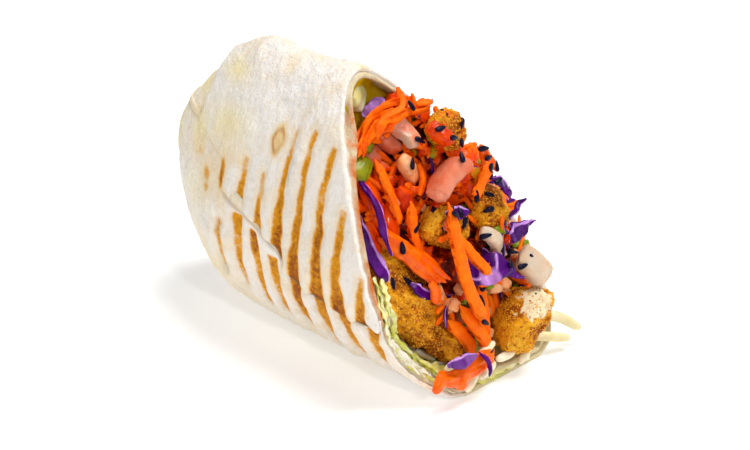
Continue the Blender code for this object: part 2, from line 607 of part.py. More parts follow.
# --- small things fused on ------------------------------------------------------------------
def small_solid(centre, along, normal, size, sides, spans):
    """A seed, grain or shred: a blunt spindle lying on a surface."""
    along = unit(along - normal * (along @ normal))
    side = np.cross(normal, along)
    length, width, thick = size
    t = np.cos(math.pi * np.arange(1, spans) / spans)
    around = 2 * math.pi * np.arange(sides) / sides
    points = [centre + along * length / 2]
    for place in t:
        fade = (1 - abs(place) ** 2.6) ** (1 / 2.6)
        for angle in around:
            points.append(centre + along * place * length / 2 + side * math.cos(angle) * fade * width / 2
                          + normal * math.sin(angle) * fade * thick / 2)
    points.append(centre - along * length / 2)
    return np.array(points), sweep_faces(sides, spans - 1)


def clear_of(points, faces, others, margin):
    """True where a small solid keeps its distance from other pieces."""
    own = tree_of(points, faces)
    if own.overlap(others):
        return False
    return all(others.find_nearest(Vector(point))[3] > margin for point in points)


def fuse(obj, solids):
    """Join small solids to an object in one union, keeping one closed body."""
    extras = bpy.data.collections.new(obj.name + "_extras")
    bpy.context.scene.collection.children.link(extras)
    for number, (points, faces) in enumerate(solids):
        add_object(f"{obj.name}_extra_{number}", mesh_from("extra", points, faces), extras)
    union = obj.modifiers.new("union", "BOOLEAN")
    union.operation = "UNION"
    union.operand_type = "COLLECTION"
    union.collection = extras
    bpy.context.view_layer.update()
    plain = obj.data
    for solver in ("EXACT", "MANIFOLD"):
        union.solver = solver
        result = bpy.data.meshes.new_from_object(obj.evaluated_get(bpy.context.evaluated_depsgraph_get()))
        if is_one_closed_body(result):
            plain = result
            break
    obj.modifiers.clear()
    obj.data = plain
    for extra in list(extras.objects):
        bpy.data.objects.remove(extra)
    bpy.data.collections.remove(extras)


def is_one_closed_body(mesh):
    bm = bmesh.new()
    bm.from_mesh(mesh)
    closed = all(edge.is_manifold for edge in bm.edges)
    seen, front = set(), bm.verts[:1]
    while front:
        vert = front.pop()
        if vert.index in seen:
            continue
        seen.add(vert.index)
        front += [edge.other_vert(vert) for edge in vert.link_edges]
    whole = 0 < len(seen) == len(bm.verts)
    bm.free()
    return closed and whole


def surface_under(tree, u, v):
    """The point and outward normal of a surface below a place on the cut."""
    hit, normal, _, _ = tree.ray_cast(Vector(on_cut(u, v, 80)), Vector(-CUT_OUT))
    if hit is None:
        return None, None
    normal = np.array(normal)
    return np.array(hit), normal if normal @ CUT_OUT > 0 else -normal


def filling_extras(filling_tree, pieces, wrap):
    """Lettuce shreds and rice grains that lie half sunk in the mixed filling."""
    solids = []
    for u, v, length, heading in LETTUCE:
        solids.append((u, v, heading, (length, *LETTUCE_SIZE), 6, 5))
    for u, v, heading in RICE_SPOTS:
        solids.append((u, v, heading, RICE, 5, 4))
    kept = []
    for u, v, heading, size, sides, spans in solids:
        centre, normal = surface_under(filling_tree, u, v)
        if centre is None:
            continue
        direction = CUT_UP * math.cos(math.radians(heading)) + CUT_ACROSS * math.sin(math.radians(heading))
        solid = small_solid(centre + normal * size[2] * 0.15, direction, normal, size, sides, spans)
        if clear_of(*solid, pieces, GAP) and clear_of(*solid, wrap, GAP):
            kept.append(solid)
    return kept


def sesame_on(laid):
    """Black sesame seeds strewn over the pieces that lie on top."""
    seeds = {name: [] for name in laid}
    whole = {name: tree_of(*laid[name]) for name in laid}
    placed = []
    for _ in range(4000):
        if len(placed) >= SEED_COUNT:
            break
        u, v = rng.gauss(8, 17), rng.gauss(7, 10)
        hits = {name: surface_under(tree, u, v) for name, tree in whole.items()}
        hits = {name: hit for name, hit in hits.items() if hit[0] is not None}
        if not hits:
            continue
        name = max(hits, key=lambda n: in_cut_frame(hits[n][0])[2])
        centre, normal = hits[name]
        heading = rng.uniform(0, math.pi)
        leaf = name.startswith("cabbage")
        if leaf or normal @ CUT_OUT < 0.75 or any(np.linalg.norm(centre - other) < 4 for other in placed):
            continue
        direction = CUT_UP * math.cos(heading) + CUT_ACROSS * math.sin(heading)
        solid = small_solid(centre + normal * 0.1, direction, normal, SESAME, 5, 4)
        others = [tree for other, tree in whole.items() if other != name]
        if all(clear_of(*solid, tree, GAP) for tree in others):
            seeds[name].append(solid)
            placed.append(centre)
    return {name: found for name, found in seeds.items() if found}


# --- the object -----------------------------------------------------------------------------
def material(kind):
    colour, roughness = COLOURS[kind]
    surface = bpy.data.materials.new(kind)
    surface.use_nodes = True
    shader = surface.node_tree.nodes["Principled BSDF"]
    shader.inputs["Base Color"].default_value = colour
    shader.inputs["Roughness"].default_value = roughness
    shader.inputs["Metallic"].default_value = 0.0
    surface.diffuse_color = colour
    return surface


def stand_at_origin(objects, carrier):
    """Move the whole so that the origin is under the middle of its box, on the floor."""
    bpy.context.view_layer.update()
    corners = np.array([obj.matrix_world @ v.co for obj in objects for v in obj.data.vertices])
    low, high = corners.min(0), corners.max(0)
    carrier.location = (-(low[0] + high[0]) / 2, -(low[1] + high[1]) / 2, -low[2])
    bpy.context.view_layer.update()


def main():
    for old in list(bpy.data.objects):
        bpy.data.objects.remove(old)
    burrito = bpy.data.collections.new("chicken_burrito")
    bpy.context.scene.collection.children.link(burrito)
    materials = {kind: material(kind) for kind in COLOURS}

    tortilla = tortilla_mesh()
    wrap = mesh_tree(tortilla)
    laid, pieces = lay_pieces(wrap)
    filling = filling_mesh(pieces, wrap)

    objects = [add_object("tortilla", tortilla, burrito), add_object("mixed_filling", filling, burrito)]
    fuse(objects[1], filling_extras(mesh_tree(filling), pieces, wrap))
    for name, (points, faces) in laid.items():
        objects.append(add_object(name, mesh_from(name, points, faces), burrito))
    seeds = sesame_on(laid)
    for obj in objects:
        if obj.name in seeds:
            fuse(obj, seeds[obj.name])

    carrier = bpy.data.objects.new("burrito_place", None)
    burrito.objects.link(carrier)
    for obj in objects:
        kind = obj.name.split("_")[0]
        obj.data.materials.clear()
        obj.data.materials.append(materials[kind if kind in materials else "mixed_filling"])
        obj.parent = carrier
    stand_at_origin(objects, carrier)


main()
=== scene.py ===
"""The looks of half a chicken burrito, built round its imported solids.

Shapes are worked out in millimetres in the frame in which the solids were drawn, where x is 0 at the
middle of the cut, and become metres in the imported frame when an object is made.  Places on the cut
are given in the cut's own frame, from its middle: u up the cut, v across it to the back, h out of it.
"""

import functools
import math
import random

import bmesh
import bpy
import numpy as np
from mathutils import Matrix, Vector, noise
from mathutils.bvhtree import BVHTree


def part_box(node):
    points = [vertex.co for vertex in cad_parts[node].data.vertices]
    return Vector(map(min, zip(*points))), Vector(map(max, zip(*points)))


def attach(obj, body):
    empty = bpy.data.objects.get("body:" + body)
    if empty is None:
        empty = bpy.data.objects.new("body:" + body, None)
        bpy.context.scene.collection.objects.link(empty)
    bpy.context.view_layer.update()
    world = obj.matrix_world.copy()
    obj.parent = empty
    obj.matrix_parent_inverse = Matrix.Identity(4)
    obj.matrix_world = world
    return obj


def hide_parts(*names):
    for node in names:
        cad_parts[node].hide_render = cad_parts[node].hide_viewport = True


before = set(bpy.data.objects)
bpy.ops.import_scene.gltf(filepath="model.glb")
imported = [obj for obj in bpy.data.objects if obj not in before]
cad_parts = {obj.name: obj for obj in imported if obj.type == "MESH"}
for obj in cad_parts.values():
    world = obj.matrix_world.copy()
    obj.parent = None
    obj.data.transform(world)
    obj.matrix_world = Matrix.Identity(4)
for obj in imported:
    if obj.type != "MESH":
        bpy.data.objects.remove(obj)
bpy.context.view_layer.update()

bl_info = {
    "name": "Chicken burrito half",
    "version": (1, 0, 0),
    "blender": (4, 5, 0),
    "location": "View3D > Sidebar > Burrito",
    "description": "Dresses the packed solids of half a chicken burrito and sets its stage",
    "category": "Object",
}

MM = 0.001
TORTILLA_LOW = np.array((-92.535, -28.175, 0.0))  # lowest corner of the tortilla as drawn
PLACE = np.array(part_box("tortilla")[0]) / MM - TORTILLA_LOW

# --- the wrap as it was drawn, mm ---
SHEET = 1.6
WALL = 2 * SHEET
TOP_THINNER = 1.1
CURL_DEPTH, CURL_ANGLE, CURL_SPAN = 2.6, 2.25, 0.2
CURL_X, CURL_FADE = -33.0, 10.0
HALF_WIDTH, HALF_HEIGHT = 27.1, 42.0
CENTRE_Z = HALF_HEIGHT - 2.3
SPREAD, LEAN = 0.333, -0.09
ROUND_FRONT_TOP, ROUND_BACK_TOP, ROUND_FRONT_BASE, ROUND_BACK_BASE = 1.95, 1.74, 1.8, 3.5
END_X, END_LENGTH = -92.5, 41.9
CUT_SLOPE, CUT_SKEW, CUT_BOW = -0.461, 0.064, 0.00343
RIM_DIP, RIM_DIP_Z, LIP_REACH = 3.2, -22.0, 1.6
FLAP_EDGE_X = (-93, -75, -66, -57.5, -54.5, -47, -40, -33.5, -29, -23, -10, 14)
FLAP_EDGE_Z = (60, 58.5, 56.5, 53.5, 45.5, 42.3, 39.7, 36, 29, 26.8, 24.2, 24.5)
FLAP_START_X, FLAP_START_FADE = -73.5, 2.5
# How much of its thickness the loose edge still stands up, along the wrap: it is pressed down by the grill.
PRESSED_X, PRESSED = (-73, -66, -60, -53, -36, -22), (1, 0.6, 0.2, 0.42, 0.5, 1)
FOLD_DROP = 3.4
TUCK_REACH, TUCK_Y, TUCK_Z, TUCK_SIZE = 2.6, -14.0, 55.0, 10.0
CREASE_DEPTH = 0.5

# --- the tortilla's finer form ---
AROUND = 300  # columns round the wrap, without those of the loose edge
END_ROWS, SIDE_ROWS, INNER_ROWS, RIM_ROWS = 84, 124, 34, 9
EDGE_ROUND = 0.006  # the loose edge is rounded over this share of a turn
# Turn and added depth of the columns below the loose edge, and of those behind it.
UNDER_EDGE = ((-0.012, 0.35), (-0.005, 0.1), (-0.0025, 0.05), (0.0, 0.0), (0.0025, 0.0))
BEHIND_EDGE = ((0.9995, 0.75), (0.996, 1.15), (0.989, 1.25))
EDGE_WEIGHT = 0.0006  # share of a turn that each of them takes on the inner face
SEAM_TURN, SEAM_SPAN = 0.004, 0.0035  # where the shadow under the loose edge shows
LAYER_BULGE, LAYER_GROOVE = 0.35, 0.55
SOAKED_FROM, SOAKED_FADE = 3, 4  # rows in from the outer face from which the wall is soaked with sauce
RIM_THINNER = 0.9  # how much the wall thins out towards the rim at the front
# Marks of the grill: x, top z, bottom z, width, darkness.
FLAP_MARKS = ((-48.2, 56, 42, 3.2, 0.9), (-40.6, 54, 38.6, 2.6, 0.85), (-33, 66.5, 34.4, 3.3, 0.95),
              (-26.5, 68, 26.8, 3.9, 1.0), (-18.5, 66, 24.8, 4.3, 1.0), (-10.8, 53, 23, 4.9, 1.0),
              (-2.5, 38, 23, 4.8, 1.0))
UNDER_MARKS = ((-56.3, 36, 22, 1.8, 0.7), (-49, 40, 17.5, 2.3, 0.8), (-42.5, 37, 11.5, 2.5, 0.9),
               (-35.5, 31.5, 13, 2.8, 0.95), (-28, 27.5, 11.5, 3.0, 1.0), (-20, 25, 7, 3.2, 1.0),
               (-10.8, 24, 8.5, 3.4, 1.0), (-1.2, 22, 8, 3.4, 0.95))
# Browned spots: x, z, reach along and up, darkness.
BROWN_SPOTS = ((-64.7, 46.6, 2.3, 2.0, 0.4), (-63.6, 43, 1.7, 1.8, 0.38), (-70, 51, 1.4, 1.4, 0.28),
               (-56.2, 49.4, 1.25, 3.6, 0.9))
BLISTER = (-38.0, 63.2, 2.9, 0.62)  # a browned one: x, z, radius, where its ring is
BLISTER_TALLER = 1.5

# --- the loose pieces as they were laid: (u, v, h) line, width, thickness, roll, wave ---
PIECES = {
    "pickle_slice": ([(41.5, -1.5, -11), (41, 0, -11), (40, 2, -10.5)], 4.5, 3, 10),
    "pickle_end": ([(38, -4, -11), (35.5, -6.5, -11), (32.5, -9.5, -11)], 4, 3, 0),
    "onion_inner": ([(42.5, -6, -8), (41, -4.5, -8), (38.5, -2.5, -7.5)], 4.5, 3, 20),
    "tomato_deep": ([(36, 3.5, -8), (34.5, 5, -8), (32.5, 6.5, -7.5)], 3.6, 3.2, 0),
    "sprout_lower": ([(-36, 23, -1), (-38.5, 28, -1), (-41, 33.5, 1)], 2.8, 2.6, 0),
    "sprout_upper": ([(-31, 26, 0), (-34, 32, 0), (-40, 38, 1.5)], 3.0, 3.0, 0),
    "chicken_front": ([(6, -15, -8), (-6, -15, -7), (-18, -9, -6), (-30, -1, -6)], 15, 12, 0),
    "chicken_right": ([(-26, 13, -8), (-29, 17, 0), (-32, 22, 8)], 17, 15, 20),
    "chicken_top": ([(31, 9, 3), (27, 11, 4), (22, 14, 5)], 9, 8, 10),
    "pepper_piece": ([(25.5, -14, -6), (23.5, -13, -6), (21, -11, -6)], 6, 5, 20),
    "tomato_left": ([(31, -7, -7), (28, -6, -6), (24, -4, -5)], 6, 5, 20),
    "tomato_middle": ([(31, -2, -6), (28, -1, -5), (25, 0, -4)], 4.5, 4, 0),
    "tomato_low": ([(17, -5, -2), (13, -5, -1), (10, -5, -1)], 4, 4, 0),
    "chicken_middle": ([(7, -2, -1), (3, 3, 1), (0, 9, 2)], 10, 8, 0),
    "chicken_back": ([(9, 18, 2), (3, 17, 4), (-3, 15, 4)], 9, 8, 0),
    "cabbage_top": ([(36.5, -5, -5), (38, -2, -5), (39.5, 1, -5)], 3.6, 1.2, 30, 0.4),
    "onion_middle": ([(24, -3, -3), (20, -1, -1), (16, 0, 0)], 5, 4, 0),
    "onion_top": ([(33, 1, -1), (30, 2, 0), (25, 2, 1)], 5, 4, 10),
    "tomato_back": ([(30, 4, 1), (27, 5, 2), (24, 7, 3)], 4, 4, 10),
    "tomato_big": ([(11, -1, 2), (15, 4, 3), (18, 11, 4)], 8, 7, -10),
    "carrot_left": ([(26, -10, -3), (17, -10, -1), (8, -9, 0)], 3.2, 2.4, 10),
    "carrot_middle": ([(13, -6, 0), (4, -7, 1), (-3, -5, 2)], 3.2, 2.4, 0),
    "cabbage_left_lower": ([(14, -18.5, -4), (6, -20, -3), (-4, -20, -3)], 4.4, 1.3, -25, 0.5),
    "cabbage_middle": ([(-7, -13, -1), (-10, -11, -1), (-13, -8, 0)], 3, 1.2, 10, 0.4),
    "carrot_sauced": ([(9, -16, -3), (3, -13, -2), (-3, -9, -1), (-11, -3, 1)], 6, 3.6, 0),
    "carrot_drip": ([(-8, -10, -1), (-11, -8.5, -1), (-15, -7, -2)], 2.6, 2.2, 0),
    "cabbage_left_upper": ([(24, -16, -4), (19, -15, -2), (11, -17, -1), (2, -17, 0)], 3.6, 1.3, 35, 0.8),
    "carrot_top_left": ([(27, -15, -7), (33, -9, -6.5), (36, -1, -4.5), (36, 7, -3.5)], 5, 3, -10),
    "carrot_top_spike": ([(31, -12, -4), (34, -5, -3.5), (36, 2, -2), (41.5, 3, -2)], 4, 3, 10),
    "cabbage_inner": ([(-13, 5, 3), (-17, 4, 2), (-20, 3.5, 1)], 3, 1.2, 20, 0.4),
    "carrot_right": ([(-14, 7, 4), (-23, 6, 3), (-33, 6, 1)], 3.6, 2.4, -20),
    "carrot_low_left": ([(-20, -6, -1), (-26, -2, -1), (-32, 2, -2)], 4.2, 2.6, 0),
    "carrot_low_right": ([(-17, -3, 2), (-26, 1, 1), (-35, 6, 0)], 4.4, 2.6, 10),
    "carrot_on_lip": ([(-35, -14, 0), (-36, -9, -1), (-36, -1, -3), (-36, 8, -3)], 5, 3.2, 0),
    "cabbage_low": ([(-33, -11, -2), (-34, -6, -1), (-34, -1, -1)], 3.6, 1.2, 20, 0.6),
    "cabbage_arc": ([(-31, 1, 0), (-35, 2, 0), (-38, 1, -1)], 2.4, 1.2, 60, 0.3),
    "onion_strip": ([(-1, 9, 6), (-6, 14, 7), (-13, 19, 5)], 4, 3, 0),
    "onion_block": ([(-10, 18, 2), (-14, 20, 1), (-20, 22, -1)], 8, 4, -10),
    "cabbage_big": ([(-9, 0, 3), (-11, 5, 4), (-12, 11, 4.5), (-17, 16, 4)], 8, 1.3, 15, 1.0),
    "carrot_back_long": ([(20, 17, 4), (16, 18, 5), (11, 19, 6)], 4, 3, 0),
    "carrot_back_short": ([(16, 14.5, 5), (12, 13, 6.5), (7.5, 9, 7)], 3.6, 2.6, 0),
    "cabbage_centre": ([(7, 0, 4.5), (6, 3, 5.5), (5, 7, 6)], 3.6, 1.2, 20, 0.6),
    "cabbage_edge": ([(11, 16, 9), (8, 19, 9), (4, 19, 10)], 3.6, 1.2, 30, 0.6),
    "carrot_branch": ([(1, 1, 6), (-5, 3, 6), (-12, 6, 5)], 3.6, 2.4, 0),
    "carrot_long": ([(10, -1, 5), (-4, -2, 6), (-16, -1, 6), (-24, 2, 5)], 4.2, 2.6, 0),
    "cabbage_wing": ([(-5.5, 16, 5), (-4.5, 21, 8), (-4.2, 26, 11)], 5, 1.3, -20, 0.8),
    "cabbage_curl": ([(-1.5, 18.5, 6), (0.5, 20.5, 8), (2.5, 24, 10)], 3, 1.2, 40, 0.8),
}
TANGLES = {"carrot_top_left": 12, "carrot_top_spike": 5}  # shreds in each tangle of carrot
SAUCED = ("carrot_sauced", "carrot_drip", "carrot_on_lip", "carrot_back_long")
NUDGES = {  # u, v, h by which a piece lies off its solid's line
    "cabbage_low": (3.2, -2.2, 0.4), "cabbage_arc": (0.6, -3.4, 0.8), "pepper_piece": (1.6, -1.0, 2.6),
    "tomato_deep": (3.4, -1.2, 3.2), "onion_inner": (1.6, -0.4, 0.8), "onion_block": (-1.0, 3.0, 0.8),
    "carrot_on_lip": (2.2, -2.2, 0.8),
}
LONGER = {"chicken_front": 1.07}  # how far a crust runs past its solid's line
RANDOM_SEED = 11


def linear(rgb):
    """A colour as a screen shows it, 0 to 255, as linear values."""
    return tuple((c / 255 / 12.92) if c <= 10 else ((c / 255 + 0.055) / 1.055) ** 2.4 for c in rgb)


def tint(name, note, rgb):
    return bpy.props.FloatVectorProperty(name=name, description=note, default=linear(rgb),
                                         subtype="COLOR", size=3, min=0, max=1)


def size(name, note, millimetres):
    return bpy.props.FloatProperty(name=name, description=note, default=millimetres * MM,
                                   subtype="DISTANCE", unit="LENGTH", min=0)


class BurritoColours(bpy.types.PropertyGroup):
    tortilla: tint("Tortilla", "Bare wheat tortilla", (238, 232, 226))
    tortilla_patch: tint("Tortilla patches", "Beige patches between the bubbles", (236, 210, 164))
    toast: tint("Toast", "Light edge of a grill mark", (222, 150, 8))
    char: tint("Char", "Middle of a grill mark", (160, 84, 0))
    crumb: tint("Crumb coat", "Fried crumb coat of the chicken", (238, 160, 8))
    crumb_dark: tint("Crumb recess", "Recesses of the crumb coat", (176, 92, 2))
    meat: tint("Meat", "Bare chicken meat", (250, 231, 188))
    carrot: tint("Carrot", "Grated carrot", (255, 104, 0))
    cabbage: tint("Cabbage", "Face of a red cabbage leaf", (48, 0, 78))
    cabbage_cut: tint("Cabbage cut", "Cut edge of a red cabbage leaf", (190, 134, 212))
    tomato: tint("Tomato", "Tomato flesh", (212, 104, 68))
    onion: tint("Onion", "Chopped onion", (208, 190, 168))
    pepper: tint("Pepper", "Green pepper", (112, 128, 4))
    pickle: tint("Pickle", "Pickled cucumber", (200, 162, 8))
    sprout: tint("Sprout", "Bean sprout", (222, 208, 156))
    lettuce: tint("Lettuce", "Shredded lettuce", (236, 230, 130))
    rice: tint("Rice", "Cooked rice", (242, 232, 206))
    sesame: tint("Sesame", "Black sesame", (8, 4, 24))
    sauce: tint("Sauce", "Orange chilli sauce", (244, 88, 0))


class BurritoSizes(bpy.types.PropertyGroup):
    seed: size("Seed length", "Length of a sesame seed", 3.4)
    grain: size("Rice length", "Length of a rice grain", 7.2)
    crumb: size("Crumb size", "Mean size of a crumb on the chicken", 0.7)
    shred: size("Shred width", "Width of a lettuce shred", 3.6)


# --- the cut's frame ---
def unit(vectors):
    vectors = np.asarray(vectors, float)
    return vectors / np.linalg.norm(vectors, axis=-1, keepdims=True)


CUT_OUT = unit((1, -CUT_SKEW, -CUT_SLOPE))
CUT_UP = unit((CUT_SLOPE, 0, 1))
CUT_ACROSS = np.cross(CUT_UP, CUT_OUT)
CUT_MIDDLE = np.array((0, 0, CENTRE_Z))


def on_cut(u, v, h):
    """Points of places given in the cut's frame."""
    u, v, h = (np.asarray(value, float)[..., None] for value in (u, v, h))
    return CUT_MIDDLE + CUT_UP * u + CUT_ACROSS * v + CUT_OUT * h


def in_cut_frame(points):
    """(u, v, h) of points."""
    away = np.asarray(points, float) - CUT_MIDDLE
    return away @ CUT_UP, away @ CUT_ACROSS, away @ CUT_OUT


def on_face(angle):
    """A direction in the plane of the cut."""
    return CUT_UP * math.cos(angle) + CUT_ACROSS * math.sin(angle)


def powered(value, power):
    return np.sign(value) * np.abs(value) ** power


def ramp(value):
    """Smooth step from 0 to 1."""
    value = np.clip(value, 0, 1)
    return value * value * (3 - 2 * value)


def swell(points, grain, seed=0):
    """Smooth values from -1 to 1 that change over `grain` mm."""
    place = np.asarray(points, float) / grain + np.array((seed * 7.3, seed * 3.1, seed * 5.7)) + 1000
    cell = np.floor(place).astype(np.int64)
    part = place - cell
    part = part * part * part * (part * (part * 6 - 15) + 10)
    total = 0
    for corner in np.ndindex(2, 2, 2):
        c = cell + np.array(corner)
        mixed = (c[..., 0] * 73856093) ^ (c[..., 1] * 19349663) ^ (c[..., 2] * 83492791)
        mixed = (mixed ^ (mixed >> 13)) * 60493
        mixed = mixed ^ (mixed >> 11)
        value = (mixed & 0xFFFF) / 32767.5 - 1
        total = total + value * np.prod(np.where(np.array(corner), part, 1 - part), axis=-1)
    return total


def crags(points, grain, seed=0, octaves=3):
    """Several sizes of swell, each half the last in size and height."""
    return sum(swell(points, grain / 2 ** i, seed + i) / 2 ** i for i in range(octaves))


# --- the wrap's surface as it was drawn ---
def section(theta):
    """The wrap's outline as (y, z) from its centre; theta runs from the back over the top."""
    c, s = np.cos(theta), np.sin(theta)
    top = np.where(c < 0, ROUND_FRONT_TOP, ROUND_BACK_TOP)
    base = np.where(c < 0, ROUND_FRONT_BASE, ROUND_BACK_BASE)
    power = 2 / np.where(s >= 0, top, base)
    z = powered(s, power) * HALF_HEIGHT
    width = HALF_WIDTH * (1 - SPREAD * z / HALF_HEIGHT)
    return powered(c, power) * width + LEAN * z, z


def end_scale(x, start):
    """How far the section has opened at x, on a surface whose closed end is at start."""
    return np.sqrt(1 - (1 - np.clip((x - start) / END_LENGTH, 0, 1)) ** 2)


def flap_edge_angle(x):
    """The angle of the section at which the outer layer ends, on the front."""
    z = (np.interp(x, FLAP_EDGE_X, FLAP_EDGE_Z) - CENTRE_Z) / np.maximum(end_scale(x, END_X), 0.45)
    power = np.where(z >= 0, ROUND_FRONT_TOP, ROUND_FRONT_BASE)
    rise = powered(z / HALF_HEIGHT, power / 2)
    return math.pi - np.arcsin(np.clip(rise, -1, 1))


def inner_edge_angle(x):
    return flap_edge_angle(np.full(np.shape(x), FLAP_EDGE_X[-1]))


def cut_x(y, z):
    """Where the knife went, for a point z above the section's centre."""
    dip = RIM_DIP * np.exp(-((z - RIM_DIP_Z) / 9) ** 2) * ramp(-y / 12)
    lip = LIP_REACH * ramp((-z - 30) / 8)
    return CUT_SKEW * y + CUT_SLOPE * z - CUT_BOW * z * z - dip + lip


def spiral_depth(x, turn):
    """Depth of the outer face: the layer winds outwards once from the flap's edge round to it."""
    wound = ramp((x - FLAP_START_X) / FLAP_START_FADE)
    spiral = SHEET * (0.5 - turn)
    fold = FOLD_DROP * (1 - np.exp(-(1 - turn) / 0.04)) * ramp((turn - 0.35) / 0.35)
    creases = CREASE_DEPTH * np.sin(x * 0.21 + 9 * turn) * np.sin(turn * 19 + x * 0.05)
    standing = np.maximum(wound * np.interp(x, PRESSED_X, PRESSED), 0.12)
    return spiral * standing + fold * (1 - wound) + creases * ramp(-(x + 30) / 30)


def inner_angle(x, turn):
    """The angle of the section at which the inner face is, after a share of a turn."""
    return (inner_edge_angle(x) + 2 * math.pi * turn) % (2 * math.pi)


def curl_at(theta):
    """How far the wall curls inwards at an angle, from 0 to 1."""
    return np.exp(-((theta - CURL_ANGLE) / CURL_SPAN) ** 2)


def wall_depth(x, turn):
    """Depth of the inner face."""
    theta = inner_angle(x, turn)
    curl = CURL_DEPTH * curl_at(theta) * ramp((x - CURL_X) / CURL_FADE)
    return WALL - TOP_THINNER * ramp(np.sin(theta) * 1.4 - 0.3) + curl


def skin(x, theta, depth, level, end_x):
    """Points `depth` mm inside the section; `level` is that face's height on the resting edge."""
    y, z = section(theta)
    shrink = end_scale(x, end_x) * (1 - depth / np.hypot(y, z))
    y = y * shrink
    z = np.maximum(z * shrink, level - CENTRE_Z)
    tuck = TUCK_REACH * np.exp(-((y - TUCK_Y) ** 2 + (z + CENTRE_Z - TUCK_Z) ** 2) / TUCK_SIZE ** 2)
    x = x - tuck * ramp((-70 - x) / 12)
    return np.stack((x, y, z + CENTRE_Z), -1)


def wrap_rows(edge_angle, depth_at, turns, level, end_x, end_rows, reaches):
    """Rows of points from the closed end to the cut, each starting at the flap's edge."""
    rows = []
    for i in range(1, end_rows + 1):
        x = np.full(len(turns), end_x + END_LENGTH * (1 - math.cos(0.5 * math.pi * i / end_rows)))
        rows.append(skin(x, edge_angle(x) + 2 * math.pi * turns, depth_at(x), level, end_x))
    start = end_x + END_LENGTH
    for reach in reaches:
        x = np.full(len(turns), start)
        for _ in range(6):
            points = skin(x, edge_angle(x) + 2 * math.pi * turns, depth_at(x), level, end_x)
            x = start + reach * (cut_x(points[:, 1], points[:, 2] - CENTRE_Z) - start)
        rows.append(points)
    return np.array(rows)


# --- meshes and objects ---
def settings():
    scene = bpy.context.scene
    return scene.burrito_colours, scene.burrito_sizes


def linked(name, data):
    """A new object in the scene."""
    obj = bpy.data.objects.new(name, data)
    bpy.context.scene.collection.objects.link(obj)
    return obj


def mesh_from(name, points, faces, attributes=None, smooth=True):
    """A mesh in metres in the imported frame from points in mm, with values stored on its points."""
    mesh = bpy.data.meshes.new(name)
    mesh.from_pydata(((np.asarray(points) + PLACE) * MM).tolist(), [], [tuple(map(int, f)) for f in faces])
    bm = bmesh.new()
    bm.from_mesh(mesh)
    bmesh.ops.recalc_face_normals(bm, faces=bm.faces)
    bm.to_mesh(mesh)
    bm.free()
    for key, values in (attributes or {}).items():
        stored = mesh.attributes.new(key, "FLOAT", "POINT")
        stored.data.foreach_set("value", np.asarray(values, np.float32).ravel())
    if smooth:
        mesh.shade_smooth()
    return mesh


def evaluated(base):
    """The plain mesh that an object's modifiers make; the object itself goes."""
    bpy.context.view_layer.update()
    mesh = bpy.data.meshes.new_from_object(base.evaluated_get(bpy.context.evaluated_depsgraph_get()))
    bpy.data.objects.remove(base)
    return mesh


def add_piece(name, mesh, material, slot, *nodes):
    """An object that rides on the part, takes a finish and may stand for solids; the slot is not used."""
    obj = linked(name, mesh)
    mesh.materials.clear()
    mesh.materials.append(material)
    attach(obj, "root")
    if nodes:
        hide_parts(*nodes)
    return obj


def add_shape(name, shape, material, slot, *nodes):
    return add_piece(name, mesh_from(name, *shape), material, slot, *nodes)


def tube_faces(rows, columns, first, start, end):
    """Faces of rows of points that each close on themselves, and of the fans that close both ends."""
    j, k = np.meshgrid(np.arange(rows - 1), np.arange(columns), indexing="ij")
    a = first + j * columns + k
    b = first + j * columns + (k + 1) % columns
    faces = np.stack((a, b, b + columns, a + columns), -1).reshape(-1, 4).tolist()
    last = first + (rows - 1) * columns
    for k in range(columns):
        n = (k + 1) % columns
        faces += [(start, first + n, first + k), (last + k, last + n, end)]
    return faces


def closed_tube(rings, start, end):
    """Points and faces of rings closed at both ends by a point."""
    points = np.array([start, *rings.reshape(-1, 3), end])
    return points, tube_faces(*rings.shape[:2], 1, 0, len(points) - 1)


def with_ends(values):
    """Values for a closed tube from those on its rings."""
    return np.concatenate(((values[0].mean(),), values.ravel(), (values[-1].mean(),)))


def join_shapes(shapes):
    """Several (points, faces, attributes) as one."""
    points, faces, attributes = [], [], {}
    for some_points, some_faces, some in shapes:
        base = sum(len(p) for p in points)
        points.append(some_points)
        faces += [tuple(base + i for i in face) for face in some_faces]
        for key, values in some.items():
            attributes.setdefault(key, []).append(np.asarray(values).ravel())
    return np.concatenate(points), faces, {key: np.concatenate(v) for key, v in attributes.items()}


def solid(name):
    """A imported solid, with its doubles merged."""
    bm = bmesh.new()
    bm.from_mesh(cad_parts[name].data)
    bmesh.ops.remove_doubles(bm, verts=bm.verts, dist=DOUBLES)
    bm.verts.index_update()
    return bm


def taken(bm):
    """The points in mm and the faces of a bmesh, which goes."""
    points = np.array([vert.co for vert in bm.verts]) / MM - PLACE
    faces = [tuple(vert.index for vert in face.verts) for face in bm.faces]
    bm.free()
    return points, faces


DOUBLES = 1e-6  # metres


def tree_from(surfaces):
    """Several (points, faces) as one surface to lie on."""
    points, faces = [], []
    for some_points, some_faces in surfaces:
        faces += [tuple(len(points) + i for i in face) for face in some_faces]
        points += some_points.tolist()
    return BVHTree.FromPolygons(points, faces)


@functools.cache
def tree_of(*names):
    return tree_from(taken(solid(name)) for name in names)


def heap_tree():
    """Every loose solid and the mixed filling as one surface."""
    return tree_of(*PIECES, "mixed_filling")


def struck(tree, u, v, side=1):
    """Where a ray along the cut's normal first meets a surface, from out of the cut or from within."""
    return tree.ray_cast(Vector(on_cut(u, v, FAR_OUT * side)), Vector(CUT_OUT * -side))


def top_at(tree, u, v):
    """The point and outward normal of a surface below a place on the cut, or None."""
    hit, normal, _, _ = struck(tree, u, v)
    if hit is None:
        return None, None
    normal = np.array(normal)
    return np.array(hit), normal if normal @ CUT_OUT > 0 else -normal


